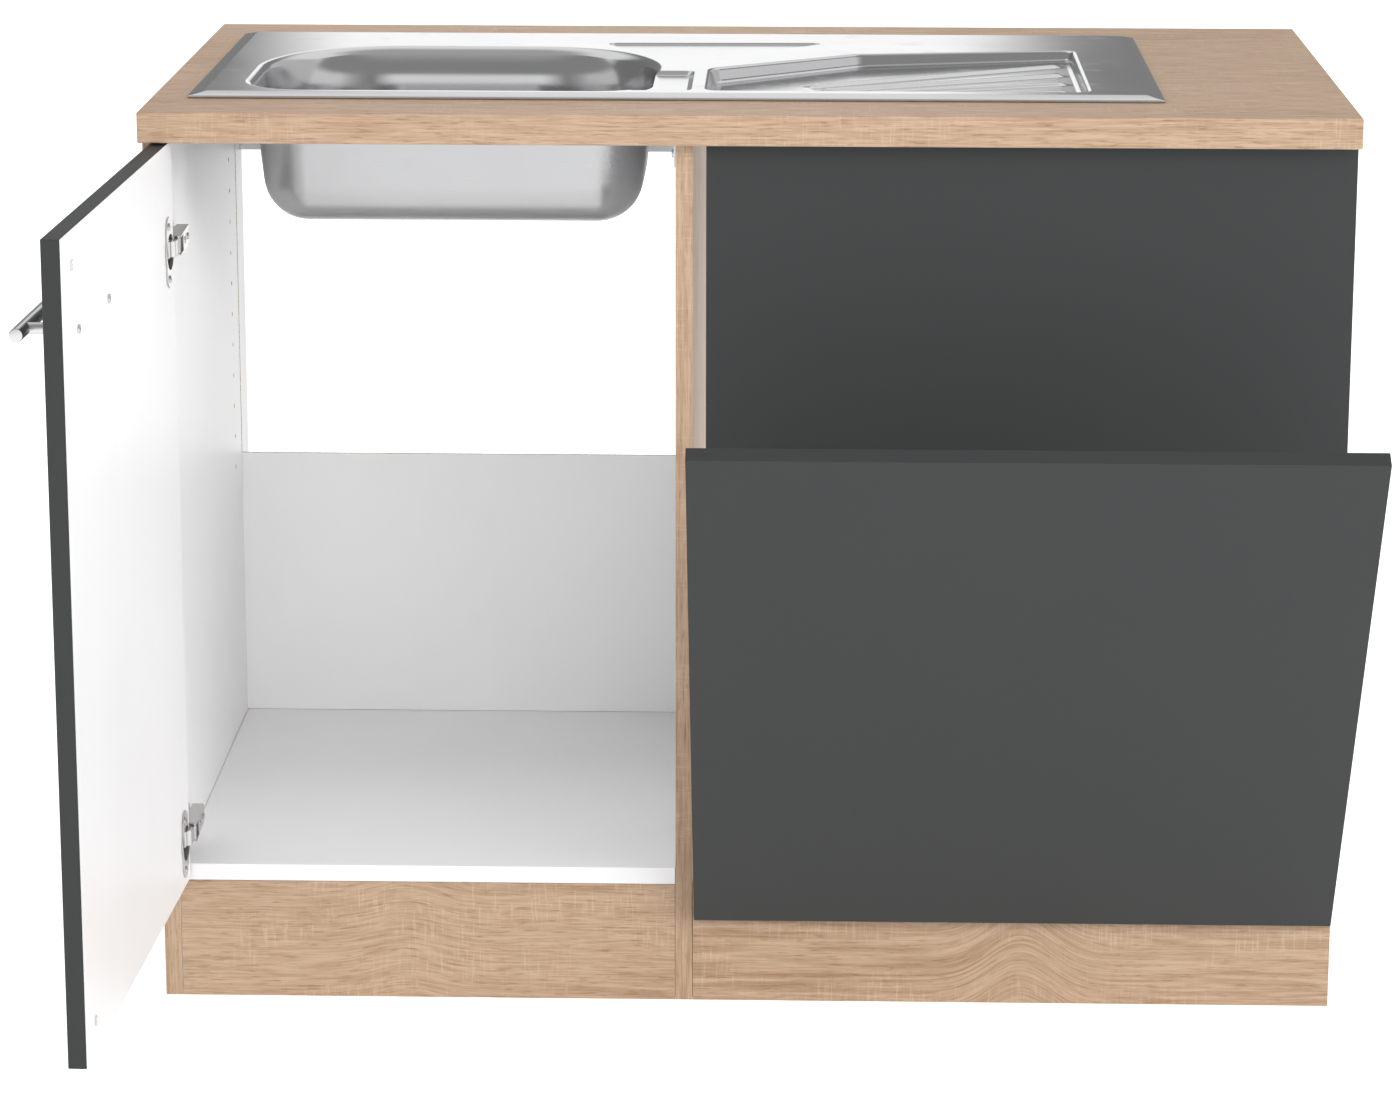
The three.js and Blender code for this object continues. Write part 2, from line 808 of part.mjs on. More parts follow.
const ledge = {
  outline: {
    corners: [
      fromSink(ledgeLeft, ledgeBackLeft),
      fromSink(ledgeTipLeft, ledgeTipFront),
      fromSink(ledgeRight, ledgeBackRight),
    ],
    radii: [ledgeCornerRadius, ledgeCornerRadius, ledgeCornerRadius],
  },
  form: {
    depth: ledgeDepth,
    rim: ledgeRim,
    foot: ledgeFoot,
    draft: ledgeDraft,
    steps: { rim: 2, foot: 2, corner: 4 },
  },
};

// The tray falls from its right end to the bowl.
function trayShare(x) {
  const start = sinkFromLeft + trayLeft;
  const along01 = THREE.MathUtils.clamp((x - start) / trayLength, 0, 1);
  return THREE.MathUtils.lerp(1, trayShallowEnd / trayDeepEnd, along01);
}

// One rib of the drainer: a long rounded swelling that lies on the sloping floor of the tray.
// Its profile pairs a share of the width with a share of the height.
function rib(number, offset) {
  const fan = fromSink(ribFanLeft, ribFanFront);
  const angle = THREE.MathUtils.degToRad(ribFanStart + ribFanStep * number);
  const direction = new THREE.Vector2(Math.cos(angle), Math.sin(angle));
  const rightEnd = sinkFromLeft + trayLeft + trayLength - ribEndGap;
  const length = (rightEnd - fan.x) / direction.x - ribFanReach;
  const corners = rectangle(0, -ribWidth / 2, length, ribWidth / 2);
  const radii = corners.map(() => ribWidth / 2);
  const profile = [[0, 0], [0.1, 0.45], [0.22, 0.8], [0.36, 1]];
  const ringAt = (inset, height) => roundedOutline(corners, radii, inset, 3).map((spot) => {
    const x = fan.x + direction.x * (ribFanReach + spot.x) - direction.y * spot.y;
    const y = fan.y + direction.y * (ribFanReach + spot.x) + direction.x * spot.y;
    return at(x, y, landTop - trayDeepEnd * trayShare(x) + height);
  });
  const foot = offset > 0 ? -2 * sheet : -sheet / 2;
  const rings = [
    ringAt(offset, foot),
    ...profile.map(([share, height]) => (
      ringAt(offset + share * (ribWidth - 2 * offset), height * ribHeight - offset)
    )),
  ];
  const middle = (ring) => ring.reduce((sum, spot) => sum.add(spot), at(0, 0, 0)).divideScalar(ring.length);
  return loft(rings, middle(rings[0]), middle(rings[rings.length - 1]));
}

// Flange with its bevelled, raised rim, open below.
function sinkFlange() {
  const corners = rectangle(sinkFromLeft, sinkFromFront, sinkRight, sinkRear);
  const radii = corners.map(() => sinkCornerRadius);
  const lipFoot = worktopHeight + seat;
  const ringAt = (inset, z) => roundedOutline(corners, radii, inset, 3).map((spot) => at(spot.x, spot.y, z));
  const centre = (z) => at((sinkFromLeft + sinkRight) / 2, (sinkFromFront + sinkRear) / 2, z);
  const outer = loft(
    [ringAt(0, lipFoot), ringAt(0, lipFoot + lipHeight), ringAt(bevelWidth, landTop)],
    centre(lipFoot),
    centre(landTop),
  );
  const hollowTop = landTop - sheet;
  const hollow = loft(
    [
      ringAt(sheet, lipFoot - sheet),
      ringAt(sheet, lipFoot + lipHeight - sheet * 0.8),
      ringAt(bevelWidth + sheet * 0.2, hollowTop),
    ],
    centre(lipFoot - sheet),
    centre(hollowTop),
  );
  return { outer, hollow };
}

function drainSeat(offset) {
  const radius = drainSeatDiameter / 2 + offset;
  const floor = landTop - bowlDepth - bowlDish;
  const low = floor - drainSeatDepth - offset;
  const high = floor + (offset > 0 ? 0.5 : 3);
  const height = high - low;
  return new THREE.CylinderGeometry(radius, radius - drainSeatTaper / 2, height, 32)
    .rotateX(Math.PI / 2)
    .translate(bowl.drain.x, bowl.drain.y, low + height / 2);
}

function sink() {
  const flange = sinkFlange();
  const ribs = Array.from({ length: ribCount }, (_, number) => number);
  const under = (form, ...rest) => pocket(form.outline, form.form, sheet, ...rest);
  const hollow = (form, ...rest) => pocket(form.outline, form.form, 0, ...rest);
  const flat = () => 1;
  const shell = cut(flange.outer, [flange.hollow]);
  const pressed = join([
    shell,
    under(bowl, flat, bowlDish, bowl.drain),
    under(tray, trayShare),
    under(saddle),
    under(ledge),
    drainSeat(sheet),
  ]);
  const opened = cut(pressed, [
    hollow(bowl, flat, bowlDish, bowl.drain),
    hollow(tray, trayShare),
    hollow(saddle),
    hollow(ledge),
    drainSeat(0),
    rod(drainHoleDiameter, bowlDepth, 32).translate(bowl.drain.x, bowl.drain.y, landTop - bowlDepth * 1.5),
  ]);
  const ribbed = join([opened, ...ribs.map((number) => rib(number, 0))]);
  addPart(unit, 'sink', cut(ribbed, ribs.map((number) => rib(number, sheet))), steelSheet);
}

function sinkSeal() {
  const corners = rectangle(sinkFromLeft, sinkFromFront, sinkRight, sinkRear);
  const radii = corners.map(() => sinkCornerRadius);
  const ring = new THREE.Shape(roundedOutline(corners, radii, sealInset, 3));
  ring.holes.push(new THREE.Path(roundedOutline(corners, radii, sealInset + sealWidth, 3)));
  addPart(unit, 'sink_seal', plate(ring, sealThickness), blackFoam, at(0, 0, worktopHeight + seat));
}

// Clamp between the sink's flange and the underside of the worktop. It is drawn with the cut-out's
// edge at the origin and the worktop towards -X.
function sinkClamp() {
  const top = landTop - sheet - seat;
  const low = worktopUnder - clampDrop;
  const outline = new THREE.Shape();
  outline.moveTo(-clampFoot, low);
  outline.lineTo(clampFlangeGap + clampThickness, low);
  outline.lineTo(clampFlangeGap + clampThickness, top);
  outline.lineTo(clampFlangeGap, top);
  outline.lineTo(clampFlangeGap, low + clampThickness);
  outline.lineTo(-clampFoot + clampTip, low + clampThickness);
  outline.lineTo(-clampFoot + clampTip, worktopUnder - seat);
  outline.lineTo(-clampFoot, worktopUnder - seat);
  const body = plate(outline, clampWidth).rotateX(Math.PI / 2).translate(0, clampWidth / 2, 0);
  const spot = -clampFoot / 2 + clampTip / 2;
  const bolt = rod(clampScrewDiameter, clampThickness + clampDrop, 12)
    .translate(spot, 0, low - clampThickness);
  const nut = rod(clampNutDiameter, clampThickness, 6).translate(spot, 0, low - clampThickness);
  return join([body, bolt, nut]);
}

function clampPlaces() {
  const left = sinkFromLeft + cutoutLand;
  const right = sinkRight - cutoutLand;
  const front = sinkFromFront + cutoutLand;
  const rear = sinkRear - cutoutLand;
  const middle = (front + rear) / 2;
  return {
    front_left: { x: left + clampEndInset, y: front, turn: 90 },
    front_right: { x: right - clampEndInset, y: front, turn: 90 },
    rear_left: { x: left + clampEndInset, y: rear, turn: -90 },
    rear_right: { x: right - clampEndInset, y: rear, turn: -90 },
    left: { x: left, y: middle, turn: 0 },
    right: { x: right, y: middle, turn: 180 },
  };
}

function sinkClamps() {
  for (const [place, { x, y, turn }] of Object.entries(clampPlaces())) {
    const clamp = sinkClamp().rotateZ(THREE.MathUtils.degToRad(turn));
    addPart(unit, `${place}_sink_clamp`, clamp, zincPlate, at(x, y, 0));
  }
}

// ---------------------------------------------------------------- door, handle and hinges

const doorFree = sideReveal + doorWidth;
const handleHeight = doorFloorGap + doorHeight - handleBelowTop;
const handleCentre = doorFree - handleFromFreeEdge;
const handlePosts = {
  inner: handleCentre - handlePostSpacing / 2,
  outer: handleCentre + handlePostSpacing / 2,
};

// The door's own pieces are drawn with the door closed, about the cup pivot.
function addToDoor(door, name, geometry, material) {
  addPart(door, name, geometry.translate(-hinge.closed.x, -hinge.closed.y, 0), material);
}

function doorPanel(door) {
  const panel = block(doorWidth, doorThickness, doorHeight).translate(sideReveal, doorFront, doorFloorGap);
  const handleHoles = Object.values(handlePosts).map((x) => (
    rod(handleScrewDiameter + 2 * seat, doorThickness * 2, 12)
      .rotateX(Math.PI / 2)
      .translate(x, doorBack + doorThickness / 2, handleHeight)
  ));
  const cuts = [...Object.values(hingeHeights).map(cupBore), ...handleHoles];
  addToDoor(door, 'door_panel', cut(panel, cuts), greyFront);
}

function handle(door) {
  const barY = doorFront - handleStandoff;
  const bar = rod(handleDiameter, handleLength, 24)
    .rotateY(Math.PI / 2)
    .translate(handleCentre - handleLength / 2, barY, handleHeight);
  const postLength = handleStandoff - seat;
  const post = (x) => rod(handlePostDiameter, postLength, 20)
    .rotateX(Math.PI / 2)
    .translate(x, doorFront - seat, handleHeight);
  const thread = (x) => rod(handleScrewDiameter + 2 * seat, handleThreadDepth + seat, 12)
    .rotateX(Math.PI / 2)
    .translate(x, doorFront, handleHeight);
  const barSocket = rod(handleDiameter + 2 * seat, handleLength * 2, 24)
    .rotateY(Math.PI / 2)
    .translate(handleCentre - handleLength, barY, handleHeight);
  addToDoor(door, 'handle_bar', bar, brightSteel);
  const bolt = (x) => join([
    rod(handleScrewDiameter, doorThickness + handleThreadDepth, 12),
    rod(handleScrewHeadDiameter, handleScrewHeadThickness, 16).translate(0, 0, -handleScrewHeadThickness),
  ]).rotateX(Math.PI / 2).translate(x, doorBack + seat, handleHeight);
  for (const [end, x] of Object.entries(handlePosts)) {
    addToDoor(door, `${end}_handle_post`, cut(post(x), [thread(x), barSocket]), brightSteel);
    addToDoor(door, `${end}_handle_screw`, bolt(x), zincPlate);
  }
}

function bumpers(door) {
  const x = doorFree - bumperFromFreeEdge;
  const heights = {
    upper: doorFloorGap + doorHeight - bumperFromEnd,
    lower: doorFloorGap + bumperFromEnd,
  };
  for (const [place, z] of Object.entries(heights)) {
    const dot = rod(bumperDiameter, bumperThickness, 16)
      .rotateX(Math.PI / 2)
      .translate(x, doorBack + seat + bumperThickness, z);
    addToDoor(door, `${place}_bumper`, dot, clearPlastic);
  }
}

function hingeLinks(links) {
  const linkBody = hingeLink();
  for (const [place, height] of Object.entries(hingeHeights)) {
    addPart(links, `${place}_hinge_link`, linkBody, brightSteel, at(0, 0, height));
  }
}

function hingeCups(door) {
  const pinOffset = cupFromEdge - cupPivotFromEdge + cupPinDiameter / 2;
  const pinLength = 2 * (Math.sqrt((cupDiameter / 2 - cupWall) ** 2 - pinOffset ** 2) - seat);
  for (const [place, height] of Object.entries(hingeHeights)) {
    addToDoor(door, `${place}_hinge_cup`, hingeCup(height), zincPlate);
    const pin = rod(cupPinDiameter, pinLength, 12)
      .translate(hinge.closed.x, hinge.closed.y, height - pinLength / 2);
    addToDoor(door, `${place}_cup_pin`, pin, brightSteel);
  }
}

function hingeMounts() {
  const pinLength = linkWidth + 2 * (armSideGap + armWall);
  const pin = rod(armPinDiameter, pinLength, 12);
  for (const [place, height] of Object.entries(hingeHeights)) {
    addPart(unit, `${place}_hinge_arm`, hingeArm(), zincPlate, at(0, 0, height));
    addPart(unit, `${place}_hinge_mount`, hingeMount(height), zincPlate);
    addPart(unit, `${place}_arm_pin`, pin, brightSteel,
      at(hinge.armPivot.x, hinge.armPivot.y, height - pinLength / 2));
  }
}

// The links turn on the arms, and the door turns on the links.
function doorAssembly() {
  const links = new THREE.Group();
  links.position.set(hinge.armPivot.x, hinge.armPivot.y, 0);
  unit.add(links);
  hingeLinks(links);
  const door = new THREE.Group();
  const reach = hinge.open.clone().sub(hinge.armPivot);
  door.position.set(reach.x, reach.y, 0);
  door.rotation.z = -THREE.MathUtils.degToRad(doorOpening);
  links.add(door);
  doorPanel(door);
  handle(door);
  bumpers(door);
  hingeCups(door);
}

// ---------------------------------------------------------------- tilting front

function tiltArmSpots() {
  return [tiltLeft + tiltArmInset, tiltLeft + tiltWidth - tiltArmInset];
}

function pivotScrewPoint(x, side) {
  const offset = side * (pivotPlateWidth / 2 + tiltArmThickness / 2 + pivotEarThickness) / 2;
  const z = plinthHeight - stopDrop - pivotPlateHeight / 2;
  return at(x + offset, plinthRear + seat + pivotPlateThickness, z);
}

function tiltScrewPoint(x, side) {
  const z = plinthHeight + tiltArmRise + tiltFlangeHeight / 2 + side * tiltFlangeHeight / 4;
  return at(x + side * tiltFlangeWidth / 3, tiltBack + seat + tiltFlangeThickness, z);
}

// Swan-neck arm in the closed place: it reaches back over the plinth and down to its pivot.
function tiltArm(x) {
  const half = tiltArmBar / 2;
  const under = plinthHeight + tiltArmRise;
  const top = under + tiltArmNeck;
  const start = tiltBack + seat + tiltFlangeThickness / 2;
  const outline = new THREE.Shape();
  outline.moveTo(start, under);
  outline.lineTo(tiltPivotY - half, under);
  outline.lineTo(tiltPivotY - half, tiltPivotZ);
  outline.absarc(tiltPivotY, tiltPivotZ, half, Math.PI, 2 * Math.PI);
  outline.lineTo(tiltPivotY + half, top - tiltArmCorner);
  outline.absarc(tiltPivotY + half - tiltArmCorner, top - tiltArmCorner, tiltArmCorner, 0, Math.PI / 2);
  outline.lineTo(start, top + tiltGusset);
  const web = sidePlate(outline, tiltArmThickness, 10).translate(x - tiltArmThickness / 2, 0, 0);
  const flange = block(tiltFlangeWidth, tiltFlangeThickness, tiltFlangeHeight)
    .translate(x - tiltFlangeWidth / 2, tiltBack + seat, under);
  const bore = rod(tiltPinDiameter + 2 * seat, tiltArmThickness * 3)
    .rotateY(Math.PI / 2)
    .translate(x - tiltArmThickness * 1.5, tiltPivotY, tiltPivotZ);
  const holes = [-1, 1].map((side) => (
    driven(screwHole(tiltFlangeThickness), tiltScrewPoint(x, side), along.forward)
  ));
  return cut(join([web, flange]), [bore, ...holes]);
}

// Bracket on the back of the plinth: a plate, whose top edge stops the arm, with two ears.
function pivotBracket(x) {
  const base = plinthRear + seat;
  const top = plinthHeight - stopDrop;
  const inside = tiltArmThickness / 2 + pivotEarGap;
  const radius = tiltArmBar / 2;
  const backing = block(pivotPlateWidth, pivotPlateThickness, pivotPlateHeight)
    .translate(x - pivotPlateWidth / 2, base, top - pivotPlateHeight);
  const ear = new THREE.Shape();
  ear.moveTo(base + pivotPlateThickness / 2, tiltPivotZ - radius);
  ear.lineTo(tiltPivotY, tiltPivotZ - radius);
  ear.absarc(tiltPivotY, tiltPivotZ, radius, -Math.PI / 2, Math.PI / 2);
  ear.lineTo(base + pivotPlateThickness / 2, tiltPivotZ + radius);
  const ears = [x - inside - pivotEarThickness, x + inside].map((left) => (
    sidePlate(ear, pivotEarThickness).translate(left, 0, 0)
  ));
  const bore = rod(tiltPinDiameter + 2 * seat, pivotPlateWidth)
    .rotateY(Math.PI / 2)
    .translate(x - pivotPlateWidth / 2, tiltPivotY, tiltPivotZ);
  const holes = [-1, 1].map((side) => (
    driven(screwHole(pivotPlateThickness), pivotScrewPoint(x, side), along.forward)
  ));
  return cut(join([backing, ...ears]), [bore, ...holes]);
}

// Headed pin through both ears and the arm between them.
function pivotPin(x) {
  const inside = tiltArmThickness / 2 + pivotEarGap + pivotEarThickness;
  const body = rod(tiltPinDiameter, 2 * inside + tiltPinHeadThickness)
    .translate(0, 0, -inside - tiltPinHeadThickness / 2);
  const head = rod(tiltPinHeadDiameter, tiltPinHeadThickness)
    .translate(0, 0, -inside - seat - tiltPinHeadThickness);
  return join([body, head]).rotateY(Math.PI / 2).translate(x, tiltPivotY, tiltPivotZ);
}

function tiltAssembly() {
  const swing = new THREE.Group();
  swing.position.set(0, tiltPivotY, tiltPivotZ);
  swing.rotation.x = THREE.MathUtils.degToRad(tiltOpening);
  unit.add(swing);
  const toSwing = (geometry) => geometry.translate(0, -tiltPivotY, -tiltPivotZ);
  const spots = { left: tiltArmSpots()[0], right: tiltArmSpots()[1] };
  const panel = block(tiltWidth, tiltThickness, tiltHeight).translate(tiltLeft, tiltFront, plinthHeight);
  addPart(swing, 'tilt_front', toSwing(panel), greyFront);
  for (const [side, x] of Object.entries(spots)) {
    addPart(swing, `${side}_tilt_arm`, toSwing(tiltArm(x)), zincPlate);
    addPart(unit, `${side}_pivot_bracket`, pivotBracket(x), zincPlate);
    addPart(unit, `${side}_pivot_pin`, pivotPin(x), brightSteel);
  }
}

// ---------------------------------------------------------------- the unit

worktop();
sink();
sinkSeal();
sinkClamps();
sideBoards();
cabinetBoards();
nicheBoards();
angleBrackets();
hingeMounts();
doorAssembly();
tiltAssembly();

// The origin goes under the middle of the whole unit, on the floor.
const bounds = new THREE.Box3().setFromObject(unit, true);
const middle = bounds.getCenter(new THREE.Vector3());
unit.position.set(-middle.x, -middle.y, -bounds.min.z);

export default unit;
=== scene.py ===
"""Looks of a kitchen sink unit: worktop, pressed sink, cabinet with a door, niche with a tilting front."""
import math

import bmesh
import bpy
from mathutils import Matrix, Vector


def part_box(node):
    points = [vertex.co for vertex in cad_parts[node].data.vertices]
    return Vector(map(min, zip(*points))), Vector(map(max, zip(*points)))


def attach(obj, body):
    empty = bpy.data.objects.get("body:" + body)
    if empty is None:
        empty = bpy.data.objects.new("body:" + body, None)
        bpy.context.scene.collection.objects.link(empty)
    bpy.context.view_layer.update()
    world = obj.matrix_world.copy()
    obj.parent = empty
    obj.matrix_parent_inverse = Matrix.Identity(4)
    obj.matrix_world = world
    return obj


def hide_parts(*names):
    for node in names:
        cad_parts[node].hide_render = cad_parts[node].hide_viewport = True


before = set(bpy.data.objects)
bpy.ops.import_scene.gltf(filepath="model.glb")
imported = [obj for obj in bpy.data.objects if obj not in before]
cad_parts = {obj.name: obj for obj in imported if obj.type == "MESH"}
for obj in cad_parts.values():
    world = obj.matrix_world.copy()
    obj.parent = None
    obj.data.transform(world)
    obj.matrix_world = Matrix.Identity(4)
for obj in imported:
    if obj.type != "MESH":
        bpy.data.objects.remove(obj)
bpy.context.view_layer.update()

# ---------------------------------------------------------------- studio
# The unit stands on a pale floor in a plain light studio. Sizes are given in millimetres from the
# worktop's front left corner and the floor, as a fitter would measure them.
MM = 0.001
front_left_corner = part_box("worktop")[0]


def spot(x, y, z):
    """Point of the unit in millimetres, as a place in metres."""
    return Vector((front_left_corner.x + x * MM, front_left_corner.y + y * MM, z * MM))


def node(tree, kind, inputs=None, **settings):
    """Adds a shader node, sets its options, and links or fills its inputs."""
    made = tree.nodes.new(kind)
    for name, value in settings.items():
        setattr(made, name, value)
    for name, value in (inputs or {}).items():
        if isinstance(value, bpy.types.NodeSocket):
            tree.links.new(value, made.inputs[name])
        else:
            made.inputs[name].default_value = value
    return made


def ramp(tree, fac, stops):
    """Colour ramp whose stops are pairs of a place and a grey value or a colour."""
    made = node(tree, "ShaderNodeValToRGB", {"Fac": fac})
    elements = made.color_ramp.elements
    while len(elements) < len(stops):
        elements.new(1.0)
    for element, (place, value) in zip(elements, stops):
        element.position = place
        element.color = (value, value, value, 1) if isinstance(value, (int, float)) else (*value, 1)
    return made.outputs["Color"]


def maths(tree, operation, first, second=0.0, third=0.0):
    """One step of arithmetic on sockets or numbers."""
    return node(tree, "ShaderNodeMath", {0: first, 1: second, 2: third}, operation=operation).outputs[0]


def mixed(tree, factor, first, second, blend="MIX"):
    """Two colours mixed, or blended in another way."""
    made = tree.nodes.new("ShaderNodeMix")
    made.data_type = "RGBA"
    made.blend_type = blend
    for socket, value in ((made.inputs[0], factor), (made.inputs[6], first), (made.inputs[7], second)):
        if isinstance(value, bpy.types.NodeSocket):
            tree.links.new(value, socket)
        else:
            socket.default_value = value if isinstance(value, (int, float)) else (*value, 1)
    return made.outputs[2]


camera = bpy.data.objects.new("camera", bpy.data.cameras.new("camera"))
camera.location = spot(605.6, -3879.3, 1449.9)
camera.rotation_euler = (1.3362, -0.0013, 0.0256)
camera.data.lens = 112.35
camera.data.sensor_width = 36
camera.data.shift_y = -0.06
camera.data.clip_end = 100
bpy.context.scene.collection.objects.link(camera)
bpy.context.scene.camera = camera
bpy.context.scene.view_settings.view_transform = "Standard"

# Matt things get soft light from all round. Steel mirrors a room with bright panels in grey walls, and
# what shows behind the unit is plain white.
WHITE = (1, 1, 1, 1)
world = bpy.data.worlds.new("studio")
bpy.context.scene.world = world
world.use_nodes = True
sky = world.node_tree
sky.nodes.clear()
seen = node(sky, "ShaderNodeLightPath").outputs
direction = node(sky, "ShaderNodeTexCoord").outputs["Generated"]
towards = node(sky, "ShaderNodeSeparateXYZ", {0: direction}).outputs
depth = maths(sky, "MAXIMUM", maths(sky, "ABSOLUTE", towards["Y"]), 0.02)
aside = maths(sky, "DIVIDE", towards["X"], depth)
rear_wall = ramp(sky, maths(sky, "ADD", aside, 0.5),
                 [(0.368, 0.24), (0.392, 1.25), (0.535, 1.25), (0.560, 0.24), (0.95, 0.30), (1.0, 0.7)])
front_wall = ramp(sky, maths(sky, "MULTIPLY_ADD", aside, 0.25, 0.5),
                  [(0.10, 0.75), (0.34, 0.30), (0.45, 1.05), (0.53, 1.05), (0.62, 0.25), (0.90, 0.9)])
rear_half = mixed(sky, ramp(sky, towards["Z"], [(0.45, 0.0), (0.62, 1.0)]), rear_wall, (1.1, 1.1, 1.1))
front_half = mixed(sky, ramp(sky, towards["Z"], [(0.36, 0.0), (0.50, 1.0)]), front_wall, (0.34, 0.34, 0.34))
walls = mixed(sky, maths(sky, "GREATER_THAN", towards["Y"], 0.0), front_half, rear_half)
room = mixed(sky, ramp(sky, towards["Z"], [(0.84, 0.0), (0.95, 1.0)]), walls, (0.55, 0.55, 0.55))
overcast = ramp(sky, towards["Z"], [(0.0, 1.0), (0.5, 0.62), (1.0, 0.25)])
ambient = node(sky, "ShaderNodeBackground", {"Color": overcast, "Strength": 1.6})
visible = node(sky, "ShaderNodeBackground", {"Color": room, "Strength": 1.0})
plain = node(sky, "ShaderNodeBackground", {"Color": WHITE, "Strength": 1.0})
shiny = maths(sky, "MAXIMUM", seen["Is Glossy Ray"], seen["Is Transmission Ray"])
lit = node(sky, "ShaderNodeMixShader", {0: shiny, 1: ambient.outputs[0], 2: visible.outputs[0]})
shown = node(sky, "ShaderNodeMixShader", {0: seen["Is Camera Ray"], 1: lit.outputs[0], 2: plain.outputs[0]})
node(sky, "ShaderNodeOutputWorld", {"Surface": shown.outputs[0]})


def lamp(name, place, aim, size, power):
    """Soft lamp, turned to what it lights. Shiny things mirror the bright room instead of it."""
    made = bpy.data.objects.new(name, bpy.data.lights.new(name, "AREA"))
    made.data.shape = "RECTANGLE"
    made.data.size, made.data.size_y = size
    made.data.energy = power
    made.location = Vector(place)
    made.rotation_euler = (Vector(aim) - Vector(place)).to_track_quat("-Z", "Y").to_euler()
    made.visible_glossy = False
    bpy.context.scene.collection.objects.link(made)


lamp("key_lamp", (4.1, -3.3, 1.6), (0.1, 0.0, 0.4), (2.6, 2.2), 88)
lamp("fill_lamp", (-3.2, -4.2, 2.4), (0.0, 0.0, 0.4), (2.4, 2.0), 10)
lamp("front_lamp", (1.5, -4.6, 2.9), (-0.2, 0.0, 0.4), (3.0, 1.6), 58)
lamp("rear_lamp", (-1.0, 3.6, 3.6), (0.0, 0.0, 0.5), (3.0, 2.0), 26)

# The floor keeps the unit's soft shadow, and is lifted to white for the eye and for what mirrors it.
FLOOR_REACH = 40
floor_shape = bmesh.new()
bmesh.ops.create_grid(floor_shape, x_segments=1, y_segments=1, size=FLOOR_REACH)
floor = bpy.data.objects.new("floor", bpy.data.meshes.new("floor"))
floor_shape.to_mesh(floor.data)
floor_shape.free()
bpy.context.scene.collection.objects.link(floor)
paper = bpy.data.materials.new("pale_floor")
paper.use_nodes = True
tree = paper.node_tree
tree.nodes.clear()
seen = node(tree, "ShaderNodeLightPath").outputs
matt = node(tree, "ShaderNodeBsdfDiffuse", {"Color": (0.82, 0.82, 0.82, 1)})
veil = node(tree, "ShaderNodeEmission", {"Color": WHITE, "Strength": 0.75})
bright = node(tree, "ShaderNodeAddShader", {0: matt.outputs[0], 1: veil.outputs[0]})
either = maths(tree, "MAXIMUM", seen["Is Camera Ray"], seen["Is Glossy Ray"])
either = maths(tree, "MAXIMUM", either, seen["Is Transmission Ray"])
sheet = node(tree, "ShaderNodeMixShader", {0: either, 1: matt.outputs[0], 2: bright.outputs[0]})
node(tree, "ShaderNodeOutputMaterial", {"Surface": sheet.outputs[0]})
floor.data.materials.append(paper)

# ---------------------------------------------------------------- worktop
# A 28 mm chipboard worktop with a sawn-oak decor on top and a glued edging on its three seen edges.
# Its rear edge and the cut-out for the sink are raw. Angle brackets screw it down from below.


def new_group(name, inputs, outputs):
    """Shader node group with named inputs and outputs."""
    group = bpy.data.node_groups.new(name, "ShaderNodeTree")
    for label, kind, value in inputs:
        socket = group.interface.new_socket(label, in_out="INPUT", socket_type=kind)
        if value is not None:
            socket.default_value = value
    for label, kind in outputs:
        group.interface.new_socket(label, in_out="OUTPUT", socket_type=kind)
    return group, group.nodes.new("NodeGroupInput").outputs, group.nodes.new("NodeGroupOutput").inputs


def stretched(tree, vector, scale, offset=(0, 0, 0)):
    """Coordinates scaled differently along and across the grain."""
    inputs = {"Vector": vector, "Scale": scale, "Location": offset}
    return node(tree, "ShaderNodeMapping", inputs).outputs[0]


def noise(tree, vector, scale=1.0, detail=2.0, roughness=0.5, distortion=0.0):
    """Value of a soft noise."""
    return node(tree, "ShaderNodeTexNoise", {
        "Vector": vector, "Scale": scale, "Detail": detail, "Roughness": roughness,
        "Distortion": distortion}).outputs["Fac"]


ARCH_NARROWNESS = 560.0
RING_CONTRAST = 125.0


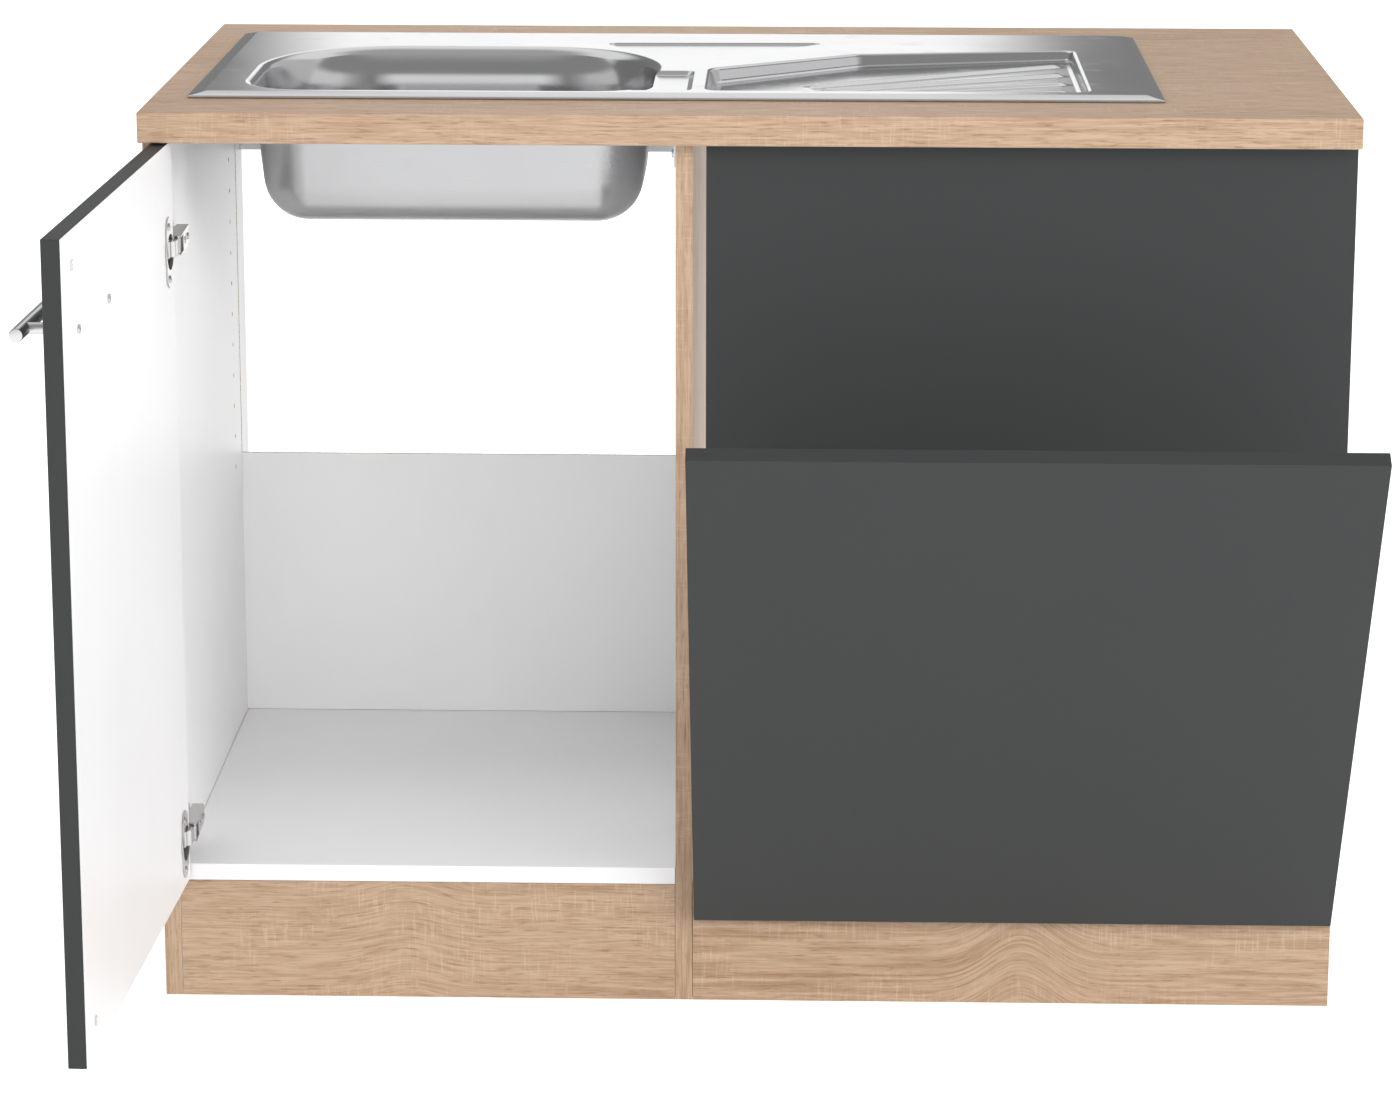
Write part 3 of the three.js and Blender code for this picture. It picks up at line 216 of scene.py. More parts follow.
def sawn_oak_group():
    """Sawn-oak decor. The grain runs along X of the vector that comes in, and Arch bows it there."""
    group, given, out = new_group(
        "sawn_oak",
        [("Vector", "NodeSocketVector", None), ("Light", "NodeSocketColor", (0.6, 0.42, 0.29, 1)),
         ("Dark", "NodeSocketColor", (0.36, 0.22, 0.13, 1)), ("Figure", "NodeSocketFloat", 0.5),
         ("Saw Marks", "NodeSocketFloat", 0.5), ("Arch", "NodeSocketFloat", 0.0)],
        [("Color", "NodeSocketColor"), ("Roughness", "NodeSocketFloat"), ("Height", "NodeSocketFloat")])
    along = node(group, "ShaderNodeSeparateXYZ", {0: given["Vector"]}).outputs["X"]
    squared = maths(group, "MULTIPLY", along, along)
    hump = maths(group, "EXPONENT", maths(group, "MULTIPLY", squared, -ARCH_NARROWNESS))
    lift = maths(group, "MULTIPLY", hump, given["Arch"])
    lift = node(group, "ShaderNodeCombineXYZ", {"Z": lift}).outputs[0]
    vector = node(group, "ShaderNodeVectorMath", {0: given["Vector"], 1: lift}, operation="ADD").outputs[0]
    growth = noise(group, stretched(group, vector, (0.9, 11, 11)), detail=2.5, distortion=0.35)
    bands = maths(group, "SINE", maths(group, "MULTIPLY", growth, RING_CONTRAST))
    bands = maths(group, "MULTIPLY_ADD", bands, 0.5, 0.5)
    fade = noise(group, stretched(group, vector, (2.2, 7, 7), (3, 1, 5)), detail=2)
    fade = ramp(group, fade, [(0.38, 0.15), (0.62, 1.0)])
    figure = maths(group, "MULTIPLY", maths(group, "MULTIPLY", bands, fade), given["Figure"])
    fibre = noise(group, stretched(group, vector, (20, 520, 520)), detail=3, roughness=0.7)
    fibre = ramp(group, fibre, [(0.40, 0.0), (0.62, 1.0)])
    pores = noise(group, stretched(group, vector, (60, 620, 620), (7, 2, 3)), detail=1)
    pores = ramp(group, pores, [(0.60, 0.0), (0.70, 1.0)])
    cloud = noise(group, stretched(group, vector, (2.2, 9, 9), (1, 9, 4)), detail=3)
    cuts = noise(group, stretched(group, vector, (480, 34, 34), (5, 5, 1)), detail=2, roughness=0.6)
    cuts = ramp(group, cuts, [(0.55, 0.0), (0.66, 1.0)])
    patch = ramp(group, noise(group, stretched(group, vector, (9, 20, 20), (2, 8, 8)), detail=2),
                 [(0.46, 0.0), (0.60, 1.0)])
    cuts = maths(group, "MULTIPLY", maths(group, "MULTIPLY", cuts, patch), given["Saw Marks"])
    depth = maths(group, "MULTIPLY_ADD", fibre, 0.42, maths(group, "MULTIPLY", figure, 0.6))
    depth = maths(group, "MULTIPLY_ADD", cloud, 0.20, depth)
    depth = maths(group, "MULTIPLY_ADD", pores, 0.34, depth)
    depth = maths(group, "SUBTRACT", depth, maths(group, "MULTIPLY", cuts, 0.5))
    shade = ramp(group, depth, [(0.0, 0.0), (0.95, 1.0)])
    tint = mixed(group, shade, given["Light"], given["Dark"])
    group.links.new(tint, out["Color"])
    group.links.new(maths(group, "MULTIPLY_ADD", fibre, 0.16, 0.44), out["Roughness"])
    relief = maths(group, "SUBTRACT", maths(group, "MULTIPLY", fibre, -0.5), pores)
    group.links.new(maths(group, "MULTIPLY_ADD", cuts, 0.4, relief), out["Height"])
    return group


sawn_oak = sawn_oak_group()


def new_material(name):
    """Empty node material with its Principled shader and the object's own coordinates."""
    material = bpy.data.materials.new(name)
    material.use_nodes = True
    tree = material.node_tree
    place = node(tree, "ShaderNodeTexCoord").outputs["Object"]
    return material, tree, tree.nodes["Principled BSDF"], place


def bumped(tree, shader, height, strength, distance):
    """Small relief on a shader."""
    bump = node(tree, "ShaderNodeBump", {"Height": height, "Strength": strength, "Distance": distance})
    tree.links.new(bump.outputs[0], shader.inputs["Normal"])


OAK_LIGHT, OAK_DARK = (0.57, 0.408, 0.286), (0.31, 0.187, 0.105)
LENGTHWAYS, UPRIGHT, FRONT_TO_BACK = (0, 0, 0), (0, math.radians(90), 0), (0, 0, math.radians(90))


def oak_material(name, grain, shift, figure, saw_marks, arch=0.0):
    """Matt sawn-oak decor with the grain turned to the length of its board."""
    material, tree, shader, place = new_material(name)
    turned = node(tree, "ShaderNodeMapping", {"Vector": place, "Rotation": grain, "Location": shift})
    wood = node(tree, "ShaderNodeGroup", node_tree=sawn_oak)
    tree.links.new(turned.outputs[0], wood.inputs["Vector"])
    wood.inputs["Light"].default_value = (*OAK_LIGHT, 1)
    wood.inputs["Dark"].default_value = (*OAK_DARK, 1)
    wood.inputs["Figure"].default_value = figure
    wood.inputs["Saw Marks"].default_value = saw_marks
    wood.inputs["Arch"].default_value = arch
    tree.links.new(wood.outputs["Color"], shader.inputs["Base Color"])
    tree.links.new(wood.outputs["Roughness"], shader.inputs["Roughness"])
    shader.inputs["Specular IOR Level"].default_value = 0.35
    bumped(tree, shader, wood.outputs["Height"], 0.25, 0.0002)
    return material


worktop_oak = oak_material("worktop_oak", LENGTHWAYS, (0.3, 0.1, 0.2), 0.4, 0.42)


def chipboard_material():
    """Raw chipboard: flattened flakes of many browns, pressed with glue."""
    material, tree, shader, place = new_material("raw_chipboard")
    pressed_flat = stretched(tree, place, (420, 420, 520))
    flakes = node(tree, "ShaderNodeTexVoronoi", {"Vector": pressed_flat, "Scale": 1.0})
    tone = node(tree, "ShaderNodeSeparateColor", {0: flakes.outputs["Color"]}).outputs[0]
    dark_flake, brown_flake, pale_flake = (0.28, 0.17, 0.09), (0.46, 0.31, 0.18), (0.62, 0.47, 0.30)
    flake_tint = ramp(tree, tone, [(0.0, dark_flake), (0.5, brown_flake), (1.0, pale_flake)])
    tree.links.new(flake_tint, shader.inputs["Base Color"])
    shader.inputs["Roughness"].default_value = 0.85
    bumped(tree, shader, flakes.outputs["Distance"], 0.6, 0.0004)
    return material


raw_chipboard = chipboard_material()


def pearl_material(name, tint, gloss, relief):
    """Plain melamine face with the fine pearl texture of its press plate and a little handling wear."""
    material, tree, shader, place = new_material(name)
    smears = noise(tree, stretched(tree, place, (5, 5, 3)), detail=4, roughness=0.6)
    shade = ramp(tree, smears, [(0.3, tuple(c * 0.965 for c in tint)), (0.7, tint)])
    tree.links.new(shade, shader.inputs["Base Color"])
    tree.links.new(maths(tree, "MULTIPLY_ADD", smears, 0.16, gloss - 0.08), shader.inputs["Roughness"])
    pearl = noise(tree, place, scale=1100, detail=2)
    bumped(tree, shader, pearl, relief, 0.00012)
    shader.inputs["Specular IOR Level"].default_value = 0.3
    return material


white_melamine = pearl_material("white_melamine", (0.92, 0.915, 0.92), 0.42, 0.18)
grey_backing = pearl_material("grey_backing", (0.52, 0.51, 0.49), 0.6, 0.1)


def merged_copy(cad_node):
    """A bmesh of a CAD node, as one connected shape with its flat faces joined."""
    shape = bmesh.new()
    shape.from_mesh(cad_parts[cad_node].data)
    bmesh.ops.remove_doubles(shape, verts=shape.verts, dist=2e-6)
    bmesh.ops.dissolve_limit(shape, angle_limit=math.radians(0.5), verts=shape.verts, edges=shape.edges)
    return shape


def placed(shape, name, materials, body, stands_for=()):
    """Makes a piece from a bmesh and lets it ride on its body."""
    mesh = bpy.data.meshes.new(name)
    shape.to_mesh(mesh)
    shape.free()
    piece = bpy.data.objects.new(name, mesh)
    bpy.context.scene.collection.objects.link(piece)
    for material in materials:
        mesh.materials.append(material)
    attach(piece, body)
    if stands_for:
        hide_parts(*stands_for)
    return piece


def near(first, second):
    """True for two measures that are the same but for rounding."""
    return abs(first - second) < 2e-5


def extent(shape):
    """Lowest and highest corner of a bmesh."""
    low = Vector([min(vert.co[axis] for vert in shape.verts) for axis in range(3)])
    high = Vector([max(vert.co[axis] for vert in shape.verts) for axis in range(3)])
    return low, high


def soften_board(shape, low, high, radius):
    """Rounds the long outer edges of a board, where two of its outer faces meet."""
    def shared_limits(edge):
        ends = [vert.co for vert in edge.verts]
        return sum(all(near(end[axis], limit[axis]) for end in ends)
                   for axis in range(3) for limit in (low, high))

    arrises = [edge for edge in shape.edges if shared_limits(edge) >= 2]
    bmesh.ops.bevel(shape, geom=arrises, offset=radius * MM, offset_type="OFFSET", segments=2,
                    profile=0.5, affect="EDGES", material=-1, clamp_overlap=True)


SIDES = {
    "left": (0, -1), "right": (0, 1), "front": (1, -1), "rear": (1, 1), "bottom": (2, -1), "top": (2, 1)}


def board(cad_node, finishes, radius=0.5, turn=Matrix.Identity(4)):
    """Shape and materials of a board from its CAD node. finishes gives the material of its outer
    faces by side, as seen before the turn that the board stands at; the rest of it is raw."""
    shape = merged_copy(cad_node)
    shape.transform(turn.inverted())
    shape.normal_update()
    low, high = extent(shape)
    soften_board(shape, low, high, radius)
    shape.normal_update()
    materials = [raw_chipboard, *dict.fromkeys(finishes.values())]
    for face in shape.faces:
        centre = face.calc_center_median()
        for side, finish in finishes.items():
            axis, sign = SIDES[side]
            limit = high[axis] if sign > 0 else low[axis]
            if face.normal[axis] * sign > 0.6 and abs(centre[axis] - limit) < radius * MM * 1.01:
                face.material_index = materials.index(finish)
    shape.transform(turn)
    return shape, materials


shape, materials = board("worktop", {
    "top": worktop_oak, "front": worktop_oak, "left": worktop_oak, "right": worktop_oak,
    "bottom": grey_backing}, radius=1.2)
placed(shape, "worktop_board", materials, "carcass", ["worktop"])

# ---------------------------------------------------------------- carcass boards
# Two 16 mm side boards stand on the floor and carry everything. They are oak outside and white inside,
# with a row of 5 mm shelf holes and a groove for the thin back. Dowels and cams hold the boards together.
side_oak = oak_material("side_oak", UPRIGHT, (0.7, 0.4, 0.9), 0.4, 0.5)
plinth_oak = oak_material("plinth_oak", LENGTHWAYS, (0.30, 0.62, 0.31), 0.55, 0.6, arch=-0.012)
niche_oak = oak_material("niche_oak", LENGTHWAYS, (-0.28, 0.35, 0.52), 0.6, 0.6, arch=-0.036)
shape, materials = board("left_side_panel", {
    "left": side_oak, "front": side_oak, "right": white_melamine})
placed(shape, "left_side_board", materials, "carcass", ["left_side_panel"])
shape, materials = board("mid_panel", {
    "right": side_oak, "front": side_oak, "left": white_melamine})
placed(shape, "middle_board", materials, "carcass", ["mid_panel"])
for cad_node, name in (("bottom_panel", "cabinet_floor"), ("rear_rail", "rear_rail_board")):
    shape, materials = board(cad_node, {
        side: white_melamine for side in ("front", "rear", "bottom", "top")})
    placed(shape, name, materials, "carcass", [cad_node])
shape, materials = board("back_panel", {
    "front": white_melamine, "rear": grey_backing}, radius=0.2)
placed(shape, "cabinet_back", materials, "carcass", ["back_panel"])
for cad_node, name, oak in (
        ("left_plinth", "cabinet_plinth", plinth_oak), ("niche_plinth", "niche_plinth_board", niche_oak)):
    shape, materials = board(cad_node, {"front": oak, "rear": grey_backing, "top": oak, "right": oak})
    placed(shape, name, materials, "carcass", [cad_node])
return_oak = oak_material("return_oak", FRONT_TO_BACK, (0.2, 0.9, 0.4), 0.5, 0.5)
shape, materials = board("plinth_return", {
    "right": return_oak, "left": grey_backing, "top": return_oak, "rear": return_oak})
placed(shape, "plinth_return_board", materials, "carcass", ["plinth_return"])

# ---------------------------------------------------------------- grey fronts
# Three 16 mm fronts in a dark grey decor, with edging of the same colour on all four edges. The door
# and the tilting front are white on the inside; the panel over the niche is fixed from behind.
grey_decor = pearl_material("grey_decor", (0.035, 0.0365, 0.037), 0.5, 0.25)
edged_sides = ("left", "right", "bottom", "top")
shape, materials = board("infill_panel", {
    side: grey_decor for side in (*edged_sides, "front", "rear")})
placed(shape, "niche_head_panel", materials, "carcass", ["infill_panel"])

DOOR_OPEN, FRONT_TILT = math.radians(-92), math.radians(30)
shape, materials = board("tilt_front", {
    **{side: grey_decor for side in (*edged_sides, "front")}, "rear": white_melamine},
    turn=Matrix.Rotation(FRONT_TILT, 4, "X"))
placed(shape, "tilting_front", materials, "niche_front", ["tilt_front"])
shape, materials = board("door_panel", {
    **{side: grey_decor for side in (*edged_sides, "front")}, "rear": white_melamine},
    turn=Matrix.Rotation(DOOR_OPEN, 4, "Z"))
placed(shape, "door_board", materials, "door", ["door_panel"])

# ---------------------------------------------------------------- pressed sink
# One stainless sheet, 1 mm thick, pressed into a raised bevelled rim, a deep bowl with rolled edges, a
# saddle, a ribbed drainer that falls to the bowl, and a shallow tap ledge. It drops into the cut-out.
SINK_LEFT, SINK_FRONT, SINK_LENGTH, SINK_DEPTH = 34, 86, 896, 425
WORKTOP_TOP, LAND_TOP = 850.3, 855.8
SHEET = 1.0
PRESS_MARKS = 8


def rounded_face(shape, corners, radii, z, segments):
    """One level face with its corners rounded. Corners run anticlockwise, seen from above."""
    verts = [shape.verts.new(spot(x, y, z)) for x, y in corners]
    shape.faces.new(verts)
    for index, (vert, radius) in enumerate(zip(verts, radii)):
        here, before, after = (
            Vector(corners[step % len(corners)]) for step in (index, index - 1, index + 1))
        reach = radius * math.tan((here - before).angle(after - here) / 2)
        bmesh.ops.bevel(shape, geom=[vert], offset=reach * MM, offset_type="OFFSET",
                        segments=segments, profile=0.5, affect="VERTICES", material=-1)
    shape.normal_update()
    return shape.faces[:][0]


def rings(shape, face, steps):
    """Insets a face again and again. Each step is how far it goes inwards and how far down."""
    for inwards, down in steps:
        bmesh.ops.inset_region(shape, faces=[face], thickness=inwards * MM, depth=-down * MM,
                               use_boundary=True, use_even_offset=True)


def section(depth, rim, foot, draft, rim_steps, foot_steps, wall_steps=1):
    """Steps of a pressed pocket: rolled rim, drafted wall and round foot."""
    slope = math.radians(90 - draft)
    places = []
    for n in range(rim_steps + 1):
        turn = slope * n / rim_steps
        places.append((rim * math.sin(turn), rim - rim * math.cos(turn)))
    rim_inset, rim_drop = places[-1]
    wall = depth - foot + foot * math.cos(slope) - rim_drop
    for n in range(1, wall_steps):
        drop = wall * n / wall_steps
        places.append((rim_inset + drop / math.tan(slope), rim_drop + drop))
    foot_inset = rim_inset + wall / math.tan(slope) + foot * math.sin(slope)
    for n in range(foot_steps + 1):
        turn = slope * (1 - n / foot_steps)
        places.append((foot_inset - foot * math.sin(turn), depth - foot + foot * math.cos(turn)))
    return [(b[0] - a[0], b[1] - a[1]) for a, b in zip(places, places[1:])]


def capped(shape, lift):
    """Closes an open pocket above its mouth, so that it can cut the sheet."""
    mouth = [edge for edge in shape.edges if edge.is_boundary]
    walls = bmesh.ops.extrude_edge_only(shape, edges=mouth)["geom"]
    raised = [item for item in walls if isinstance(item, bmesh.types.BMVert)]
    bmesh.ops.translate(shape, verts=raised, vec=(0, 0, lift * MM))
    bmesh.ops.contextual_create(shape, geom=[edge for edge in shape.edges if edge.is_boundary])
    bmesh.ops.recalc_face_normals(shape, faces=shape.faces)


def loose_object(shape, name, origin=None):
    """Object that only cuts another, or is cut. origin marks the faces that come from it."""
    if origin:
        for face in shape.faces:
            face.material_index = origin
    mesh = bpy.data.meshes.new(name)
    shape.to_mesh(mesh)
    shape.free()
    for _ in range(PRESS_MARKS):
        mesh.materials.append(None)
    made = bpy.data.objects.new(name, mesh)
    bpy.context.scene.collection.objects.link(made)
    return made


def from_sink(*places):
    """Places measured from the sink's front left corner."""
    return [(SINK_LEFT + x, SINK_FRONT + y) for x, y in places]


def oblong(left, front, length, depth):
    """Corners of a rectangle on the sink, anticlockwise from its front left one."""
    right, rear = left + length, front + depth
    return from_sink((left, front), (right, front), (right, rear), (left, rear))


def gridded(shape, face, along, across):
    """Divides a level face into small ones, so that its middle can be shaped."""
    corners = [vert.co.copy() for vert in face.verts]
    parts = [face, *face.edges, *face.verts]
    for axis, step in ((0, along * MM), (1, across * MM)):
        place = min(corner[axis] for corner in corners) + step
        while place < max(corner[axis] for corner in corners):
            line, normal = Vector((0, 0, 0)), Vector((0, 0, 0))
            line[axis], normal[axis] = place, 1
            parts = bmesh.ops.bisect_plane(
                shape, geom=parts, plane_co=line, plane_no=normal, dist=1e-7)["geom"]
            place += step


def pocket_cutter(name, index, corners, radii, segments, steps, change=None, poke=0.0, grid=None):
    """Solid of what a pocket takes out of the sheet."""
    shape = bmesh.new()
    face = rounded_face(shape, corners, radii, LAND_TOP, segments)
    rings(shape, face, steps)
    if grid:
        gridded(shape, face, *grid)
    if poke:
        bmesh.ops.poke(shape, faces=[face], offset=-poke * MM, center_mode="BOUNDS")
    if change:
        for vert in shape.verts:
            vert.co = change(vert.co)
    capped(shape, 6)
    return loose_object(shape, name, index)


BOWL, SADDLE, TRAY, LEDGE, DRAIN = 1, 2, 3, 4, 5
BOWL_LEFT, BOWL_FRONT, BOWL_LENGTH, BOWL_WIDTH = 44, 18, 388, 284
BOWL_DEPTH, BOWL_DISH = 130, 3
REAR_ROLL, REAR_ROLL_DEPTH, REAR_ROLL_START, REAR_ROLL_RUN = 15, 32, 185, 105


def wide_rear_rim(co):
    """The bowl's rear edge rolls over in a wider, softer curve than its front edge."""
    place = (co - spot(SINK_LEFT, SINK_FRONT, 0)) / MM
    share = min(max((place.y - REAR_ROLL_START) / REAR_ROLL_RUN, 0), 1)
    nearness = max(0, 1 - (LAND_TOP - place.z) / REAR_ROLL_DEPTH)
    lean = REAR_ROLL * nearness ** 2 * share * share * (3 - 2 * share)
    return co + Vector((0, lean * MM, 0))


bowl = pocket_cutter(
    "bowl", BOWL, oblong(BOWL_LEFT, BOWL_FRONT, BOWL_LENGTH, BOWL_WIDTH), (60, 60, 130, 130), 14,
    section(BOWL_DEPTH, rim=8, foot=42, draft=6, rim_steps=6, foot_steps=10, wall_steps=14),
    change=wide_rear_rim, poke=BOWL_DISH)
SADDLE_LEFT, SADDLE_FRONT, SADDLE_LENGTH, SADDLE_WIDTH = 400, 26, 63, 128
saddle = pocket_cutter(
    "saddle", SADDLE, oblong(SADDLE_LEFT, SADDLE_FRONT, SADDLE_LENGTH, SADDLE_WIDTH), (10, 10, 10, 10), 6,
    section(4, rim=2.5, foot=2.5, draft=50, rim_steps=4, foot_steps=4))
TRAY_LEFT, TRAY_FRONT, TRAY_LENGTH, TRAY_BEND = 473, 26, 358, 145
TRAY_LEFT_WIDTH, TRAY_BEND_WIDTH, TRAY_RIGHT_WIDTH = 145, 248, 280
TRAY_DEEP, TRAY_SHALLOW = 15, 9


def tray_share(x):
    """The drainer is deepest beside the bowl and gets shallower to the right."""
    run = (x - spot(SINK_LEFT + TRAY_LEFT, 0, 0).x) / (TRAY_LENGTH * MM)
    return 1 + (TRAY_SHALLOW / TRAY_DEEP - 1) * min(max(run, 0), 1)


FAN = Vector(from_sink((296, 4))[0])
FAN_REACH, RIB_COUNT, FIRST_RIB, RIB_SPREAD = 302, 4, 8.6, 5.7
RIB_HALF_WIDTH, RIB_HEIGHT, RIB_END_GAP = 8.0, 3.2, 16
ribs = []
for number in range(RIB_COUNT):
    turn = math.radians(FIRST_RIB + RIB_SPREAD * number)
    run = Vector((math.cos(turn), math.sin(turn)))
    far_end = (SINK_LEFT + TRAY_LEFT + TRAY_LENGTH - RIB_END_GAP - FAN.x) / run.x
    ribs.append((run, FAN_REACH + RIB_HALF_WIDTH, far_end - RIB_HALF_WIDTH))
land_height = spot(0, 0, LAND_TOP).z


def drainer_floor(co):
    """The drainer falls to the bowl, and long rounded ribs fan out and swell up from it."""
    place = (co.xy - spot(0, 0, 0).xy) / MM
    swell = 0
    for run, near_end, far_end in ribs:
        along = (place - FAN).dot(run)
        beside = (place - FAN - run * min(max(along, near_end), far_end)).length
        swell += RIB_HEIGHT * 0.5 * (1 + math.cos(math.pi * min(beside / RIB_HALF_WIDTH, 1)))
    down = land_height - co.z
    on_floor = down > (TRAY_DEEP - 0.1) * MM
    return Vector((co.x, co.y, land_height - down * tray_share(co.x) + (swell * MM if on_floor else 0)))


tray_outline = from_sink(
    (TRAY_LEFT, TRAY_FRONT), (TRAY_LEFT + TRAY_LENGTH, TRAY_FRONT),
    (TRAY_LEFT + TRAY_LENGTH, TRAY_FRONT + TRAY_RIGHT_WIDTH),
    (TRAY_LEFT + TRAY_BEND, TRAY_FRONT + TRAY_BEND_WIDTH), (TRAY_LEFT, TRAY_FRONT + TRAY_LEFT_WIDTH))
tray = pocket_cutter(
    "tray", TRAY, tray_outline, (14, 14, 14, 26, 26), 8,
    section(TRAY_DEEP, rim=4, foot=5, draft=14, rim_steps=5, foot_steps=5),
    change=drainer_floor, grid=(4, 1))
ledge = pocket_cutter(
    "ledge", LEDGE, from_sink((366, 344), (441, 202), (594, 351)), (10, 10, 10), 6,
    section(2, rim=1.6, foot=1.6, draft=50, rim_steps=3, foot_steps=3))

# The waste's seat is pressed into the middle of the dished bowl floor, with the hole punched through it.
SEAT_RADIUS, SEAT_DEPTH, SEAT_RISE = 47, 3.5, 1.4
SEAT_STEPS = [(1.5, 1.2), (1.0, 1.6), (0.8, 1.3), (1.0, 0.6), (1.6, 0.2), (13.5, 0)]
HOLE_STEPS = [(0.8, 0.2), (0.8, 0.8), (0.2, 30)]
bowl_floor = LAND_TOP - BOWL_DEPTH - BOWL_DISH
drain_centre = spot(SINK_LEFT + BOWL_LEFT + BOWL_LENGTH / 2, SINK_FRONT + BOWL_FRONT + BOWL_WIDTH / 2,
                    bowl_floor + SEAT_RISE)
seat_shape = bmesh.new()
bmesh.ops.create_circle(seat_shape, cap_ends=True, segments=64, radius=SEAT_RADIUS * MM)
bmesh.ops.translate(seat_shape, verts=seat_shape.verts, vec=drain_centre)
seat_shape.normal_update()
rings(seat_shape, seat_shape.faces[:][0], SEAT_STEPS + HOLE_STEPS)
capped(seat_shape, 8)
drain = loose_object(seat_shape, "drain", DRAIN)

# The blank has the rim's bevel with its mitred corners. The pockets are cut out of it, and what isn't
# sheet goes.
RIM_STEPS = [(0, -1.5), (0.15, -0.5), (0.6, -0.5), (5.6, -1.4), (5.6, -1.4), (1.0, -0.15), (1.0, -0.05)]
MITRE_RADIUS, BLANK_BOTTOM = 3.5, 690
blank = bmesh.new()
rim_corners = oblong(0, 0, SINK_LENGTH, SINK_DEPTH)
rim_face = blank.faces.new([blank.verts.new(spot(x, y, WORKTOP_TOP)) for x, y in rim_corners])
blank.normal_update()
rings(blank, rim_face, RIM_STEPS)
mitres = [edge for edge in blank.edges
          if near(edge.verts[0].co.x, edge.verts[1].co.x) == near(edge.verts[0].co.y, edge.verts[1].co.y)]
bmesh.ops.bevel(blank, geom=mitres, offset=MITRE_RADIUS * MM, offset_type="OFFSET", segments=4, profile=0.5,
                affect="EDGES", material=-1, clamp_overlap=True)
low_edges = [edge for edge in blank.edges if edge.is_boundary]
grown = bmesh.ops.extrude_edge_only(blank, edges=low_edges)["geom"]
bmesh.ops.translate(blank, verts=[item for item in grown if isinstance(item, bmesh.types.BMVert)],
                    vec=(0, 0, -(WORKTOP_TOP - BLANK_BOTTOM) * MM))
bmesh.ops.contextual_create(blank, geom=[edge for edge in blank.edges if edge.is_boundary])
bmesh.ops.recalc_face_normals(blank, faces=blank.faces)
blank_object = loose_object(blank, "sink_blank")


def carve(target, tools):
    """Cuts solids away, and returns the result as a bmesh. The tools are used up."""
    for tool in tools:
        step = target.modifiers.new(tool.name, "BOOLEAN")
        step.object, step.operation, step.solver = tool, "DIFFERENCE", "EXACT"
        step.material_mode = "INDEX"
    result = bmesh.new()
    result.from_object(target, bpy.context.evaluated_depsgraph_get())
    for used in (target, *tools):
        bpy.data.objects.remove(used)
    return result


pressed = carve(blank_object, [bowl, saddle, tray, ledge, drain])
sink_low = spot(SINK_LEFT, SINK_FRONT, 0)
sink_high = spot(SINK_LEFT + SINK_LENGTH, SINK_FRONT + SINK_DEPTH, 0)
seat_level = (bowl_floor - SEAT_DEPTH) * MM


def is_waste(face):
    """Faces of the blank that aren't part of the sheet: its base, its outer walls, and the hole's wall."""
    centre = face.calc_center_median()
    beside = min(centre.x - sink_low.x, sink_high.x - centre.x,
                 centre.y - sink_low.y, sink_high.y - centre.y)
    outside = centre.z < WORKTOP_TOP * MM and beside < 4 * MM
    return outside or centre.z < seat_level - 2 * MM


bmesh.ops.delete(pressed, geom=[face for face in pressed.faces if is_waste(face)], context="FACES")
bmesh.ops.remove_doubles(pressed, verts=pressed.verts, dist=5e-6)
bmesh.ops.dissolve_degenerate(pressed, dist=5e-6, edges=pressed.edges)


SOFT_MEETING, MEETING_RADIUS = math.radians(12), 1.6


def meets_another(edge):
    """True where two pockets cut into each other and leave a sharp line, which the press rounds."""
    if len(edge.link_faces) != 2:
        return False
    first, second = (face.material_index for face in edge.link_faces)
    return first != second and min(first, second) > 0 and edge.calc_face_angle() > SOFT_MEETING


bmesh.ops.bevel(pressed, geom=[edge for edge in pressed.edges if meets_another(edge)],
                offset=MEETING_RADIUS * MM, offset_type="OFFSET", segments=3, profile=0.5,
                affect="EDGES", material=-1, clamp_overlap=True)


def brushed_group():
    """Brushed metal: fine scratches along X of the vector, cloudy gloss and a few rubbed marks."""
    group, given, out = new_group(
        "brushed_metal",
        [("Vector", "NodeSocketVector", None), ("Tint", "NodeSocketColor", (0.6, 0.6, 0.6, 1)),
         ("Gloss", "NodeSocketFloat", 0.25), ("Streaks", "NodeSocketFloat", 0.5)],
        [("Color", "NodeSocketColor"), ("Roughness", "NodeSocketFloat"), ("Height", "NodeSocketFloat")])
    vector = given["Vector"]
    scratches = noise(group, stretched(group, vector, (14, 1300, 1300)), detail=3, roughness=0.6)
    cloud = noise(group, stretched(group, vector, (9, 9, 9), (4, 1, 2)), detail=3)
    water = noise(group, stretched(group, vector, (38, 38, 38), (1, 7, 2)), detail=2)
    marks = ramp(group, water, [(0.60, 0.0), (0.72, 1.0)])
    change = maths(group, "MULTIPLY", maths(group, "SUBTRACT", scratches, 0.5), given["Streaks"])
    gloss = maths(group, "MULTIPLY_ADD", change, 0.22, given["Gloss"])
    gloss = maths(group, "MULTIPLY_ADD", maths(group, "SUBTRACT", cloud, 0.5), 0.12, gloss)
    gloss = maths(group, "MULTIPLY_ADD", marks, 0.05, gloss)
    group.links.new(gloss, out["Roughness"])
    darker = mixed(group, 1.0, given["Tint"], (0.88, 0.88, 0.89), "MULTIPLY")
    lightness = maths(group, "MULTIPLY_ADD", change, 0.9, 0.5)
    group.links.new(mixed(group, lightness, darker, given["Tint"]), out["Color"])
    group.links.new(scratches, out["Height"])
    return group


brushed_metal = brushed_group()


